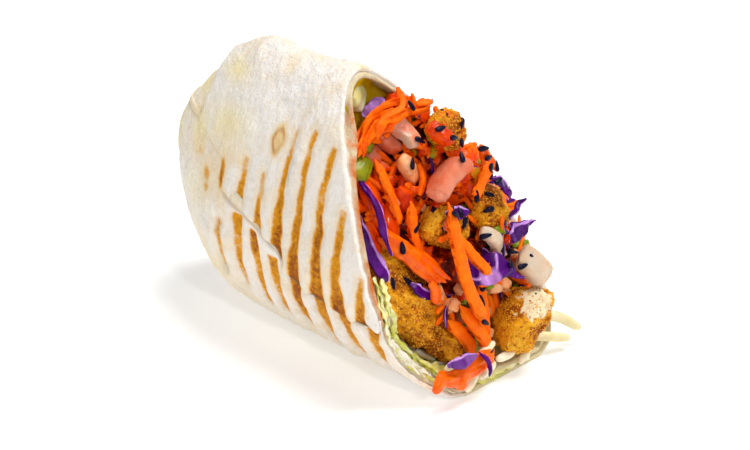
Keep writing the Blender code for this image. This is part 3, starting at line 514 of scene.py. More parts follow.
# --- lines and sweeps ---
LINE_PLACES = 17  # at which a piece's height is read
FAR_OUT = 80  # mm from the cut, beyond everything


def smooth_line(controls, t):
    """A smooth line through a few points, read at t from 0 to 1."""
    steps = np.linalg.norm(np.diff(controls, axis=0), axis=1)
    knots = np.concatenate(((0.0,), np.cumsum(steps))) / steps.sum()
    slopes = np.gradient(controls, knots, axis=0)
    i = np.clip(np.searchsorted(knots, t, side="right") - 1, 0, len(steps) - 1)
    gap = (knots[i + 1] - knots[i])[:, None]
    f = ((t - knots[i]) / gap[:, 0])[:, None]
    return ((1 + 2 * f) * (1 - f) ** 2 * controls[i] + f * (1 - f) ** 2 * gap * slopes[i]
            + f * f * (3 - 2 * f) * controls[i + 1] - f * f * (1 - f) * gap * slopes[i + 1])


def laid_line(name):
    """The middle line of a loose piece as it lies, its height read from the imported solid."""
    t = np.linspace(0, 1, LINE_PLACES)
    places = smooth_line(np.array(PIECES[name][0], float), t)
    shift = []
    for u, v, h in places:
        top, under = (struck(tree_of(name), u, v, side)[0] for side in (1, -1))
        if top is None or under is None:
            shift.append(np.nan)
        else:
            shift.append((in_cut_frame(np.array(top))[2] + in_cut_frame(np.array(under))[2]) / 2 - h)
    shift = np.array(shift)
    known = ~np.isnan(shift)
    shift = np.interp(t, t[known], shift[known])
    padded = np.pad(shift, 1, mode="edge")
    places[:, 2] += np.minimum(np.median((padded[:-2], padded[1:-1], padded[2:]), axis=0), shift)
    line = on_cut(*(places + NUDGES.get(name, (0, 0, 0))).T)
    if kind_of(name) == "chicken":
        far = t * LONGER.get(name, 1.0)
        line = np.stack([np.polyval(np.polyfit(t, line[:, axis], 2), far) for axis in range(3)], -1)
    return line


def eased(spans):
    """Places along a line from 0 to 1, closer together near its ends."""
    return (1 - np.cos(math.pi * np.arange(1, spans) / spans)) / 2


def sweep(line, width, thick, roll, wave, square, tip, seed, spans, sides):
    """Rings of a closed solid along a line, with the frame that they stand in."""
    t = eased(spans)
    middle = smooth_line(line, t)
    ahead = unit(smooth_line(line, np.minimum(t + 0.01, 1)) - smooth_line(line, np.maximum(t - 0.01, 0)))
    side = unit(np.cross(ahead, CUT_OUT))
    up = np.cross(side, ahead)
    angle = math.radians(roll) * (1 - 0.4 * t)[:, None]
    side, up = side * np.cos(angle) + up * np.sin(angle), up * np.cos(angle) - side * np.sin(angle)
    fade = (1 - np.abs(2 * t - 1) ** tip) ** (1 / tip)
    around = 2 * math.pi * (np.arange(sides) + 0.5) / sides
    c, s = np.cos(around), np.sin(around)
    flat, rise = powered(c, 2 / square), powered(s, 2 / square)
    ripple = wave * np.sin(9 * t + 2 * seed)[:, None] * (flat / 2) ** 2
    rings = (middle[:, None] + side[:, None] * (flat * width / 2 * fade[:, None])[..., None]
             + up[:, None] * (rise * thick / 2 * fade[:, None] + ripple)[..., None])
    ends = smooth_line(line, np.array((0.0, 1.0)))
    return dict(rings=rings, middle=middle, side=side, up=up, t=t, flat=flat, rise=rise, ends=ends,
                fade=fade)


def drawn_in(made, share):
    """Ring points at a share of their distance from the middle line."""
    middle = made["middle"][:, None]
    return middle + (made["rings"] - middle) * share[..., None]


def outward(made):
    """Unit directions from the middle line to the ring points."""
    away = made["rings"] - made["middle"][:, None]
    return away / np.maximum(np.linalg.norm(away, axis=-1), 1e-6)[..., None]


def lifted(made, rings, lift):
    """The closed tube of a sweep whose rings are lifted off its middle line by some mm."""
    return closed_tube(rings + outward(made) * lift[..., None], *made["ends"])


def drawn_relief(made, amount, grain, seed):
    """The solids' own crags: each ring point is moved away from or towards the middle line."""
    rings = made["rings"]
    away = rings - made["middle"][:, None]
    offset = Vector((seed, 2 * seed, 0))
    bumps = [noise.noise(Vector(point / grain) + offset) for point in rings.reshape(-1, 3)]
    return rings + away * (2 * amount * np.array(bumps)).reshape(rings.shape[:2])[..., None]


def sliced(points, middle, reach, seed, count):
    """Points cut back to a few random flat faces, as a knife leaves a chunk."""
    draw = np.random.default_rng(seed)
    for _ in range(count):
        normal = unit(draw.normal(size=3))
        away = (points - middle) @ normal
        limit = away.max() * draw.uniform(*reach)
        points = points - normal * np.maximum(away - limit, 0)[..., None]
    return points


def kind_of(name):
    return name.split("_")[0]


def names_of(kind):
    return [name for name in PIECES if kind_of(name) == kind]


def laid(name):
    """A loose piece's line, width, thickness, roll, wave, and its number in the order of laying."""
    _, width, thick, roll, *wave = PIECES[name]
    return laid_line(name), width, thick, roll, sum(wave), list(PIECES).index(name) + 1


# --- shading helpers ---
WET_IOR = 1.36  # of moist food
SOCKETS = {"ior": "IOR", "coat_ior": "Coat IOR", "specular": "Specular IOR Level", "coat": "Coat Weight",
           "coat_rough": "Coat Roughness", "soft": "Subsurface Weight", "soft_tint": "Subsurface Radius",
           "soft_depth": "Subsurface Scale", "glow_tint": "Emission Color", "glow": "Emission Strength"}


def tree_node(tree, kind, inputs, output=0, **options):
    """One output of a new node, whose inputs are linked to sockets or set to values."""
    made = tree.nodes.new(kind)
    for key, value in options.items():
        setattr(made, key, value)
    for key, value in inputs.items():
        if isinstance(value, bpy.types.NodeSocket):
            tree.links.new(value, made.inputs[key])
        else:
            made.inputs[key].default_value = value
    return made.outputs[output]


class Shader:
    """A material with one Principled shader, whose colours are laid over each other."""

    def __init__(self, name, base, **fixed):
        self.surface = bpy.data.materials.new(name)
        self.surface.use_nodes = True
        self.tree = self.surface.node_tree
        self.body = self.tree.nodes["Principled BSDF"]
        self.colour = base
        for key, value in {"ior": WET_IOR, "coat_ior": WET_IOR, **fixed}.items():
            self.body.inputs[SOCKETS[key]].default_value = value

    def node(self, kind, inputs, output=0, **options):
        return tree_node(self.tree, kind, inputs, output, **options)

    def link(self, value, socket):
        self.tree.links.new(value, self.body.inputs[socket])

    def group(self, tree, **inputs):
        made = self.tree.nodes.new("ShaderNodeGroup")
        made.node_tree = tree
        for key, value in inputs.items():
            made.inputs[key.capitalize()].default_value = value
        return made.outputs[0]

    def cloud(self, size, low=0.4, high=0.6):
        return self.group(mottle(), size=size, low=low, high=high)

    def streaks(self, size, low, high):
        return self.group(streaks(), size=size, low=low, high=high)

    def specks(self, size, share):
        return self.group(specks(), size=size, share=share)

    def value(self, name):
        return self.node("ShaderNodeAttribute", {}, "Fac", attribute_name=name)

    def times(self, whole, *others):
        """The product of masks and shares."""
        for other in others:
            whole = self.node("ShaderNodeMath", {0: whole, 1: other}, operation="MULTIPLY")
        return whole

    def spread(self, value, low, high, to_low=0.0, to_high=1.0):
        """A value from low to high, spread from to_low to to_high."""
        return self.node("ShaderNodeMapRange", {"Value": value, "From Min": low, "From Max": high,
                                                "To Min": to_low, "To Max": to_high})

    def tone(self, colour):
        """A colour by its name in the panel, as a screen shows it, or from a socket."""
        if isinstance(colour, bpy.types.NodeSocket):
            return colour
        return (*(getattr(settings()[0], colour) if isinstance(colour, str) else linear(colour)), 1)

    def over(self, colour, *masks):
        """Lay a colour over the others, as far as the product of the masks lets it show."""
        self.colour = self.node("ShaderNodeMix", {0: self.times(*masks), 6: self.tone(self.colour),
                                                  7: self.tone(colour)}, 2, data_type="RGBA")

    def finish(self, rough, relief=None, extra=None):
        """Link colour, a cloudy roughness and a relief to the shader.

        `rough` is the clouds' size, low and high, and the least and most roughness; `relief` is the
        grain's size, its share of fine grain, its depth in mm and its strength.
        """
        self.link(self.colour, "Base Color")
        size, low, high, least, most = rough
        self.link(self.spread(self.cloud(size, low, high), 0, 1, least, most), "Roughness")
        if relief:
            size, fine, depth, strength = relief
            height = self.group(grain_height(), size=size, fine=fine)
            if extra:
                height = self.node("ShaderNodeMath", {0: height, 1: extra}, operation="ADD")
            self.link(self.node("ShaderNodeBump", {"Height": height, "Distance": depth * MM,
                                                   "Strength": strength}), "Normal")
        return self.surface


def shared_group(name, sockets, build):
    """A node group made once; `sockets` are its named inputs with their defaults."""
    if name in bpy.data.node_groups:
        return bpy.data.node_groups[name]
    tree = bpy.data.node_groups.new(name, "ShaderNodeTree")
    for key, value in sockets.items():
        tree.interface.new_socket(key, in_out="INPUT", socket_type="NodeSocketFloat").default_value = value
    tree.interface.new_socket("Value", in_out="OUTPUT", socket_type="NodeSocketFloat")
    given, target = tree.nodes.new("NodeGroupInput").outputs, tree.nodes.new("NodeGroupOutput")

    def node(kind, inputs, output=0, **options):
        return tree_node(tree, kind, inputs, output, **options)

    def math_of(operation, a, b):
        return node("ShaderNodeMath", {0: a, 1: b}, operation=operation)

    place = node("ShaderNodeTexCoord", {}, "Object")
    tree.links.new(build(node, math_of, given, place), target.inputs[0])
    return tree


def noise_of(node, math_of, place, millimetres, **more):
    """A noise whose patches are some mm across."""
    scale = math_of("DIVIDE", 1 / MM, millimetres)
    return node("ShaderNodeTexNoise", {"Vector": place, "Scale": scale, **more}, "Fac")


def levelled(node, given, value):
    return node("ShaderNodeMapRange", {"Value": value, "From Min": given["Low"], "From Max": given["High"]})


def mottle():
    """Cloudy patches: 0 below Low and 1 above High of a noise whose patches are Size mm."""
    def build(node, math_of, given, place):
        cloud = noise_of(node, math_of, place, given["Size"], Detail=5.0, Roughness=0.6)
        return levelled(node, given, cloud)
    return shared_group("mottle", {"Size": 5.0, "Low": 0.4, "High": 0.6}, build)


def streaks():
    """Long fine streaks up the wrap, Size mm apart, 0 below Low and 1 above High."""
    def build(node, math_of, given, place):
        drawn = node("ShaderNodeVectorMath", {0: place, 1: STREAK_SQUEEZE}, operation="MULTIPLY")
        return levelled(node, given, noise_of(node, math_of, drawn, given["Size"], Detail=4.0))
    return shared_group("streaks", {"Size": 1.5, "Low": 0.4, "High": 0.6}, build)


def specks():
    """Round specks: 1 inside each, of a pattern whose cells are Size mm; Share is their radius."""
    def build(node, math_of, given, place):
        scale = math_of("DIVIDE", 1 / MM, given["Size"])
        cells = node("ShaderNodeTexVoronoi", {"Vector": place, "Scale": scale}, "Color")
        radius = math_of("MULTIPLY", node("ShaderNodeSeparateColor", {"Color": cells}), given["Share"])
        inside = math_of("SUBTRACT", radius, cells.node.outputs["Distance"])
        return node("ShaderNodeMapRange", {"Value": inside, "From Min": 0.0, "From Max": SPECK_EDGE})
    return shared_group("specks", {"Size": 3.0, "Share": 0.4}, build)


def grain_height():
    """Relief of two sizes, in a mix that Fine sets."""
    def build(node, math_of, given, place):
        coarse = noise_of(node, math_of, place, given["Size"], Detail=3.0)
        fine_size = math_of("MULTIPLY", given["Size"], FINE_GRAIN)
        fine = noise_of(node, math_of, place, fine_size, Detail=4.0)
        return math_of("ADD", coarse, math_of("MULTIPLY", fine, given["Fine"]))
    return shared_group("grain_height", {"Size": 2.0, "Fine": 0.5}, build)


STREAK_SQUEEZE = (1, 0.5, 0.12)  # of the pattern along x, y and z
SPECK_EDGE, FINE_GRAIN = 0.1, 0.3  # softness of a speck; size of the fine grain against the coarse


# --- the tortilla ---
def tortilla_material():
    look = Shader("tortilla_wheat", "tortilla", specular=0.35, soft=0.12, soft_tint=(1.0, 0.7, 0.45),
                  soft_depth=0.0015)
    look.over("tortilla_patch", look.cloud(15.0, 0.48, 0.66), look.cloud(4.0, 0.2, 0.7), 0.85)
    # painted shade: a fine grey-beige mottle that stands for the shading of small bumps
    look.over((214, 202, 184), look.cloud(1.5, 0.5, 0.75), 0.45)
    look.over((214, 206, 190), look.cloud(3.2, 0.52, 0.7), look.cloud(24.0, 0.4, 0.6), 0.5)
    look.over("tortilla_patch", look.streaks(1.1, 0.52, 0.7), 0.3)
    # yellow patches: partly the tortilla's own tone, partly painted shade, as in the fold's hollow at the
    # closed end
    look.over((240, 222, 158), look.value("patch"), 0.7)
    look.over((236, 208, 152), look.value("halo"), look.cloud(3.0, 0.15, 0.6), 0.95)
    blistered = look.value("blister")
    look.over((226, 194, 138), look.spread(blistered, 0.06, 0.44))
    look.over((198, 140, 92), look.spread(blistered, 0.52, 0.95))
    burn = look.times(look.value("char"), look.spread(look.cloud(1.1, 0.25, 0.75), 0, 1, 0.5, 1.3))
    look.over("toast", look.spread(burn, 0.1, 0.42))
    look.over("char", look.spread(burn, 0.42, 0.85))
    look.over((104, 46, 0), look.spread(burn, 0.6, 1.0), look.cloud(2.4, 0.48, 0.66), 0.7)
    # a darker yellow-beige over the inner face, the rim and the low lip
    look.over((204, 186, 132), look.value("damp"), 0.8)
    look.over((206, 104, 22), look.value("soaked"), look.cloud(4.5, 0.3, 0.55))
    # painted shadow: a darker line under the loose edge and over its edge face
    look.over((176, 146, 108), look.value("seam"), 0.6)
    look.over((206, 160, 96), look.specks(7.0, 0.16), look.cloud(20.0, 0.5, 0.6), 0.5)
    streaky = look.times(look.streaks(1.0, 0.3, 0.8), 0.6)
    return look.finish((4.0, 0.3, 0.7, 0.58, 0.8), (1.7, 0.7, 0.45, 1.0), streaky)


# Yellow patches of the tortilla: x, z, reach along and up, strength.
# They are partly the tortilla's own tone and partly painted shade, as in the hollow of the fold at the closed
# end.
YELLOW_PATCHES = ((-88, 52, 7, 11, 1.0), (-80, 66, 8, 4, 1.0), (-62, 74, 6, 3, 1.0), (-58, 62, 9, 5, 1.0),
                  (-71, 57, 5, 6, 1.0), (-72, 20, 16, 14, 0.45), (-44, 6, 24, 6, 0.4), (-70, 40, 8, 8, 0.5))


CHAR_FADE, HALO_FADE, PRESS_FADE = 0.6, 1.7, 1.3  # mm over which a mark's fields fade


def grill_marks(points, layer_top, fields):
    """Burn the grill's marks into the fields of both layers."""
    x, _, z = np.moveaxis(points, -1, 0)
    ragged = 0.22 * crags(points * (1, 1, 0.4), 1.1, 40, 2)
    for marks, mine, widening in ((FLAP_MARKS, layer_top, True), (UNDER_MARKS, ~layer_top, False)):
        for number, (x0, top, bottom, width, dark) in enumerate(marks):
            s = np.clip((top - z) / (top - bottom), 0, 1)
            drift = 0.3 * np.sin(z * 0.13 + 2.4 * number) + 0.12 * np.sin(z * 0.9 + number)
            profile = 0.26 + 0.74 * s ** 2.6 if widening else 1 - 0.7 * s ** 1.1
            half = 0.46 * width * profile * (1 + 0.12 * np.sin(z * 0.7 + 5 * number))
            beyond = np.maximum(np.maximum(z - top, bottom - z), 0)
            away = np.hypot(np.maximum(np.abs(x - x0 - drift) - half + ragged, 0), beyond * 0.8)
            tone = dark * ((0.46 + 0.54 * s) if widening else (0.95 - 0.4 * s))
            tone = tone * (0.85 + 0.3 * swell(points * (1, 1, 0.5), 3.0, number + 50))
            glow = 0.55 + 0.35 * s if widening else 0.4
            for key, fade, most in (("char", CHAR_FADE, tone), ("halo", HALO_FADE, glow),
                                    ("press", PRESS_FADE, 1)):
                near = np.where(mine, np.exp(-(away / fade) ** 2) * most, 0)
                fields[key] = np.maximum(fields[key], near)


def mark_fields(points, layer_top):
    """How toasted each point is, how near a mark, how far pressed in, how yellow and how blistered."""
    x, y, z = np.moveaxis(points, -1, 0)
    fields = {key: np.zeros(x.shape) for key in ("char", "halo", "press", "patch")}
    grill_marks(points, layer_top, fields)
    for x0, z0, reach_x, reach_z, dark in BROWN_SPOTS:
        away = np.hypot((x - x0) / reach_x, (z - z0) / reach_z) + 0.15 * swell(points, 2.0, 41)
        fields["char"] = np.maximum(fields["char"], dark * np.exp(-away ** 3))
        fields["halo"] = np.maximum(fields["halo"], np.exp(-(away / 2.2) ** 2))
    x0, z0, radius, ring_at = BLISTER
    across, along = np.abs(x - x0), np.abs(z - z0) / BLISTER_TALLER
    middle = (0.6 * np.hypot(across, along) + 0.4 * (across + along)) / radius + 0.12 * swell(points, 2.4, 33)
    ring = np.exp(-((middle - ring_at) / 0.24) ** 2) * (0.95 + 0.3 * swell(points, 3.0, 34))
    fields["blister"] = np.maximum(0.42 * np.exp(-(middle / 1.05) ** 6), ring)
    fields["halo"] = np.maximum(fields["halo"], 0.9 * np.exp(-middle ** 2))
    # yellow patches, partly painted shade
    for x0, z0, reach_x, reach_z, strength in YELLOW_PATCHES:
        near = np.exp(-((x - x0) / reach_x) ** 2 - ((z - z0) / reach_z) ** 2)
        fields["patch"] = np.maximum(fields["patch"], strength * near)
    return {key: values * ramp((8 - y) / 10) for key, values in fields.items()}


def grid_normals(grid):
    """Outward unit normals of rows of points round the wrap."""
    along, across = np.gradient(grid, axis=0), np.gradient(grid, axis=1)
    normals = np.cross(along, across)
    normals /= np.maximum(np.linalg.norm(normals, axis=-1), 1e-9)[..., None]
    away = (grid - CUT_MIDDLE) * (0, 1, 1)
    flip = np.sign((normals * away).sum(-1))
    return normals * np.where(flip == 0, 1, flip)[..., None]


# Places round the wrap, as shares of a turn, closer together near the loose edge.
TURNS = np.concatenate((np.linspace(0.004, 0.0145, 8), np.linspace(0.0175, 0.984, AROUND - 8),
                        (0.988, 0.991, 0.994, 0.996, 0.998, 0.9993, 1.0)))
OUTER_TURNS = np.concatenate(([t for t, _ in UNDER_EDGE], TURNS, [t for t, _ in BEHIND_EDGE]))
HELD_TURNS = np.clip(OUTER_TURNS, 0, 1)
HELD_TURNS[-len(BEHIND_EDGE):] = 1


def outer_depth(x):
    """Depth of the outer face with its loose edge rounded off."""
    off = 1 - np.sqrt(1 - np.clip((TURNS - 1 + EDGE_ROUND) / EDGE_ROUND, 0, 1) ** 2)
    added = np.concatenate(([d for _, d in UNDER_EDGE], 0.5 * off, [d for _, d in BEHIND_EDGE]))
    wound = np.maximum(ramp((x - FLAP_START_X) / FLAP_START_FADE), 0.15)
    return spiral_depth(x, HELD_TURNS) + added * wound * np.interp(x, PRESSED_X, PRESSED)


def outer_face():
    """The outer face with its puffs and bubbles, and the fields of its marks."""
    outer = wrap_rows(flap_edge_angle, outer_depth, OUTER_TURNS, 0.0, END_X, END_ROWS,
                      (np.arange(1, SIDE_ROWS + 1) / SIDE_ROWS))
    fields = mark_fields(outer, np.broadcast_to(HELD_TURNS > 0.5, outer.shape[:2]))
    press = fields.pop("press")
    normals = grid_normals(outer)
    normals[:, :len(UNDER_EDGE)] = normals[:, len(UNDER_EDGE)][:, None]
    normals[:, -len(BEHIND_EDGE):] = normals[:, -len(BEHIND_EDGE) - 2][:, None]
    puff = (0.55 + 0.35 * swell(outer, 9.0, 3)) * ramp((8 - outer[..., 1]) / 10) * (1 - press)
    puff = puff * (1 + 0.9 * ramp((32 - outer[..., 2]) / 16)) * ramp((outer[..., 0] + 72) / 16)
    bubbles = 0.5 * np.maximum(crags(outer, 5.5, 5, 2) - 0.15, 0)
    lumps = 0.5 * swell(outer, 19.0, 1) + 0.35 * swell(outer, 8.0, 2) + bubbles + 0.8 * puff - 0.3 * press
    lumps = lumps + 0.22 * crags(outer * (1, 1, 0.6), 3.2, 44, 3)
    near_base = ramp(outer[..., 2] / 3)
    lumps = lumps * near_base * ramp((outer[..., 0] - END_X) / 6)
    outer = outer + normals * lumps[..., None]
    outer[..., 2] = np.maximum(outer[..., 2], 0.02 + 0.25 * (1 - near_base) * ramp(swell(outer, 6.0, 8)))
    return outer, fields


def inner_face(around):
    """The inner face from the closed end to the rim, where the wall thins out at the front."""
    inner = wrap_rows(inner_edge_angle, lambda x: wall_depth(x, around), around, WALL, END_X + WALL + 1, 6,
                      1 - (1 - np.arange(1, INNER_ROWS + 1) / INNER_ROWS) ** 2)
    theta = inner_angle(inner[-1][:, 0], around)
    thinner = RIM_THINNER * ramp((theta - 2.5) / 0.3) * ramp((4.6 - theta) / 0.3)
    to_rim = ramp((np.arange(len(inner)) - INNER_ROWS + 22) / 10)[:, None]
    lumps = 0.25 * swell(inner, 5.0, 12) - thinner * to_rim
    return inner + unit(CUT_MIDDLE - inner) * lumps[..., None]


def rim_rows(outer, inner, around):
    """Rows across the cut edge, with the groove between its two layers."""
    curl = curl_at(inner_angle(inner[:, 0], around))
    ragged = 0.45 * swell(outer, 4.0, 20) + 0.3 * swell(outer, 1.4, 21)
    rim = []
    for s in np.arange(1, RIM_ROWS + 1) / (RIM_ROWS + 1):
        rise = LAYER_BULGE * abs(math.sin(2 * math.pi * s)) ** 0.5
        rise = rise - LAYER_GROOVE * math.exp(-((s - 0.5) / 0.09) ** 2)
        hollow = 2.4 * curl * math.exp(-((s - 0.5) / 0.2) ** 2)
        middle = outer * (1 - s) + inner * s
        rim.append(middle + CUT_OUT * (rise + ragged * math.sin(math.pi * s) - hollow)[:, None])
    return np.array(rim)


def tortilla_shape():
    """One sheet wound twice, with a loose edge, puffs between the marks and a layered rim."""
    weights = np.concatenate((np.full(len(UNDER_EDGE), EDGE_WEIGHT), np.diff(TURNS),
                              np.full(len(BEHIND_EDGE) + 1, EDGE_WEIGHT)))
    around = np.concatenate(((0,), np.cumsum(weights)[:-1])) / weights.sum()
    outer, marks = outer_face()
    inner = inner_face(around)
    grid = np.concatenate((outer, rim_rows(outer[-1], inner[-1], around), inner[::-1]))
    rows, columns = grid.shape[:2]
    _, y, z = np.moveaxis(grid, -1, 0)
    rim_at = len(outer)
    fields = {key: np.zeros((rows, columns)) for key in (*marks, "damp", "seam")}
    for key, values in marks.items():
        fields[key][:rim_at] = values
    edge = np.minimum(np.abs(HELD_TURNS - 1), HELD_TURNS) < 0.004
    fields["halo"][:rim_at, edge] = np.maximum(fields["halo"][:rim_at, edge], 0.5)
    # where the painted shadow of the loose edge lies
    shade = np.maximum(np.exp(-((OUTER_TURNS - SEAM_TURN) / SEAM_SPAN) ** 2), OUTER_TURNS > 0.9994)
    fields["seam"][:rim_at] = ramp((outer[..., 0] + 58) / 5) * shade
    # where the darker yellow-beige lies: near the rim at the low lip, and over the inner face
    low_lip = ramp((16 - z) / 12) * ramp((y + 12) / 14)
    fields["damp"][rim_at - 3:] = low_lip[rim_at - 3:]
    fields["damp"][rim_at + 5:] = np.maximum(fields["damp"][rim_at + 5:], 0.85)
    inwards = ramp((np.arange(rows) - rim_at - SOAKED_FROM) / SOAKED_FADE)[:, None]
    fields["soaked"] = ramp((-4 - y) / 6) * ramp((z - 16) / 14) * ramp((78 - z) / 8) * inwards
    tip = skin(np.array([END_X]), np.array([2.6]), 0, 0, END_X)[0]
    points = [*grid.reshape(-1, 3), tip, tip + np.array((WALL + 1, 0, 0))]
    faces = tube_faces(rows, columns, 0, len(points) - 2, len(points) - 1)
    return np.array(points), faces, {key: np.append(v.ravel(), (0, 0)) for key, v in fields.items()}


class BURRITO_OT_tortilla(bpy.types.Operator):
    """Build the grilled tortilla wrap"""
    bl_idname = "burrito.tortilla"
    bl_label = "Tortilla"

    def execute(self, context):
        add_shape("wheat_tortilla", tortilla_shape(), tortilla_material(), "tortilla", "tortilla")
        return {"FINISHED"}


# --- the chicken ---
LOBE = (-26.5, 23.5, 11.5)  # the right piece's lobe: u, v, h
LOBE_REACH, LOBE_RISE = 12.0, 5.2
MEAT_SPOT = (-25.2, 19.4, 7.2)  # bare meat on it, seen along a line through here
MEAT_REACH = 5.4
MEAT_SIGHT = unit(0.78 * CUT_OUT + 0.16 * CUT_UP - 0.6 * CUT_ACROSS)
FRONT_TAPER = 0.3
CRUST_FORM, CRUST_GRID = (2.3, 2.8), (130, 110)  # roundness and bluntness; spans and sides
SIDEWARD = unit(0.62 * CUT_OUT + 0.72 * CUT_ACROSS)


def chicken_material():
    look = Shader("fried_crumb", "crumb_dark", specular=0.22, coat=0.15, coat_rough=0.08)
    # painted light from the relief: the dark base stays as painted shade in the low parts, and light gold is
    # a painted highlight on the high ones
    height = look.value("relief")
    look.over("crumb", look.spread(height, -0.25, 0.35))
    look.over((250, 190, 40), look.spread(height, 0.45, 1.1))
    look.over((180, 88, 0), look.cloud(6.0, 0.5, 0.72), 0.7)
    # painted shade deep in the recesses
    look.over((112, 44, 2), look.spread(height, -0.2, -0.75), look.cloud(3.0, 0.35, 0.6), 0.8)
    look.over((132, 36, 6), look.specks(1.6, 0.42), look.cloud(5.0, 0.42, 0.62), 0.75)
    # pale specks, partly pale crumbs and partly painted glints on them
    look.over((252, 206, 84), look.specks(1.2, 0.42), look.cloud(4.0, 0.35, 0.6), 0.65)
    look.over("sauce", look.value("stain"), look.cloud(5.0, 0.5, 0.58), 0.75)
    crust, look.colour = look.colour, "meat"
    look.over((226, 176, 118), look.cloud(1.7, 0.5, 0.75))
    look.over((190, 76, 22), look.specks(1.0, 0.34))
    look.over((46, 18, 8), look.specks(2.1, 0.24))
    flesh, look.colour = look.colour, crust
    look.over(flesh, look.spread(look.value("meat"), 0.25, 0.75))
    return look.finish((1.0, 0.35, 0.7, 0.26, 0.6), (0.6, 0.8, 0.32, 1.0))


def chicken_shape(name):
    """A fried piece with a craggy crumb coat."""
    *form, number = laid(name)
    made = sweep(*form, *CRUST_FORM, number, *CRUST_GRID)
    made["rings"] = drawn_relief(made, 0.14, 4.5, number)
    rings = made["rings"]
    lumps = crags(rings, 5.6, number, 2) * 0.75
    ridges = 0.5 - np.abs(crags(rings, 1.7, number + 9, 2))
    grit = crags(rings, 0.9, number + 20, 2) * 0.3
    meat = np.zeros(rings.shape[:2])
    if name == "chicken_right":
        away = np.linalg.norm(rings - on_cut(*LOBE), axis=-1)
        rings = rings + SIDEWARD * (LOBE_RISE * ramp(1.2 - away / LOBE_REACH))[..., None]
        made["rings"] = rings
        off = np.linalg.norm(np.cross(rings - on_cut(*MEAT_SPOT), MEAT_SIGHT), axis=-1)
        showing = (rings - made["middle"][:, None]) @ MEAT_SIGHT > 0
        meat = ramp((MEAT_REACH + 2.2 * crags(rings, 2.4, 5, 3) - off) / 2.0) * showing
    if name == "chicken_front":
        narrow = 1 - FRONT_TAPER * ramp((made["t"] - 0.4) / 0.5)
        rings = made["rings"] = drawn_in(made, narrow[:, None])
    lift = (lumps + 0.55 * ridges + grit) * (1 - 0.45 * meat) + 0.3 * meat * crags(rings, 2.0, 6, 2)
    points, faces = lifted(made, rings, lift * made["fade"][:, None] ** 0.5)
    return points, faces, {"relief": with_ends(lumps + 0.6 * ridges + grit), "meat": with_ends(meat),
                           "stain": stain_at(points) * (name == "chicken_top")}


class BURRITO_OT_chicken(bpy.types.Operator):
    """Build the fried chicken pieces"""
    bl_idname = "burrito.chicken"
    bl_label = "Chicken"

    def execute(self, context):
        crust = chicken_material()
        for name in names_of("chicken"):
            add_shape("fried_" + name, chicken_shape(name), crust, "chicken", name)
        return {"FINISHED"}


# --- the carrots ---
# Base, light and deep colours, coat, least and most roughness, size and fineness of the relief.
CARROT_LOOKS = {"grated_carrot": ("carrot", (255, 136, 4), (236, 66, 0), 0.0, 0.34, 0.55, 0.7, 0.8),
                "sauced_carrot": ("sauce", (255, 128, 2), (226, 58, 0), 0.45, 0.1, 0.28, 2.4, 0.1)}


def carrot_material(name):
    base, light, deep, coat, least, most, grain, fine = CARROT_LOOKS[name]
    look = Shader(name, base, specular=0.18, soft=0.06, soft_tint=(1.0, 0.3, 0.02), soft_depth=0.0012,
                  coat=coat, coat_rough=0.05)
    look.over(light, look.cloud(2.2, 0.4, 0.7), 0.6)
    # painted highlight: a lighter orange along the strands' edges
    look.over((255, 150, 14), look.spread(look.value("edge"), 0.75, 1.0, 0.0, 0.5))
    look.over(deep, look.cloud(5.0, 0.52, 0.75), 0.6)
    look.over("sauce", look.value("stain"), look.cloud(4.0, 0.5, 0.6), 0.7)
    return look.finish((2.0, 0.35, 0.65, least, most), (grain, fine, 0.16, 0.6))


POINT_START, POINT_END = 0.18, 0.1  # share of a strand over which it narrows at each end
STRAND_SLIM = 0.78  # a grated strand against its solid's width
TOOTH, TOOTH_PITCH = 0.2, 0.85  # teeth along a strand's edges, mm
FACET = 0.12  # hollow of its faces against its thickness


def carrot_strand(line, width, thick, roll, seed, spans, sides, rough=1.0, sharp=0.75):
    """A squared strip of grated carrot: pointed ends, toothed edges and long facets."""
    made = sweep(line, width, thick, roll, 0.0, 6.0, 9.0, seed, spans, sides)
    t, flat, rise = made["t"][:, None], made["flat"][None], made["rise"][None]
    taper = 1 - sharp * (1 - ramp(t / POINT_START)) - 0.6 * sharp * (1 - ramp((1 - t) / POINT_END))
    rings = drawn_in(made, taper)
    flank = ramp((np.abs(flat) - 0.8) / 0.2)
    teeth = TOOTH * rough * swell(rings, TOOTH_PITCH, seed) * flank * taper
    facet = -FACET * thick * np.abs(flat) ** 1.5 * (np.abs(rise) > 0.5) * np.sign(rise)
    uneven = 0.16 * swell(rings * 0.6, 2.2, seed + 4) + 0.08 * swell(rings, 0.8, seed + 6)
    rings = rings + made["up"][:, None] * (facet * taper)[..., None]
    points, faces = lifted(made, rings, (teeth + uneven * taper) * made["fade"][:, None])
    # how near the strand's edges: where the painted highlight lies
    edge = np.broadcast_to(np.abs(flat * rise), rings.shape[:2])
    return points, faces, {"edge": with_ends(edge), "stain": stain_at(points)}


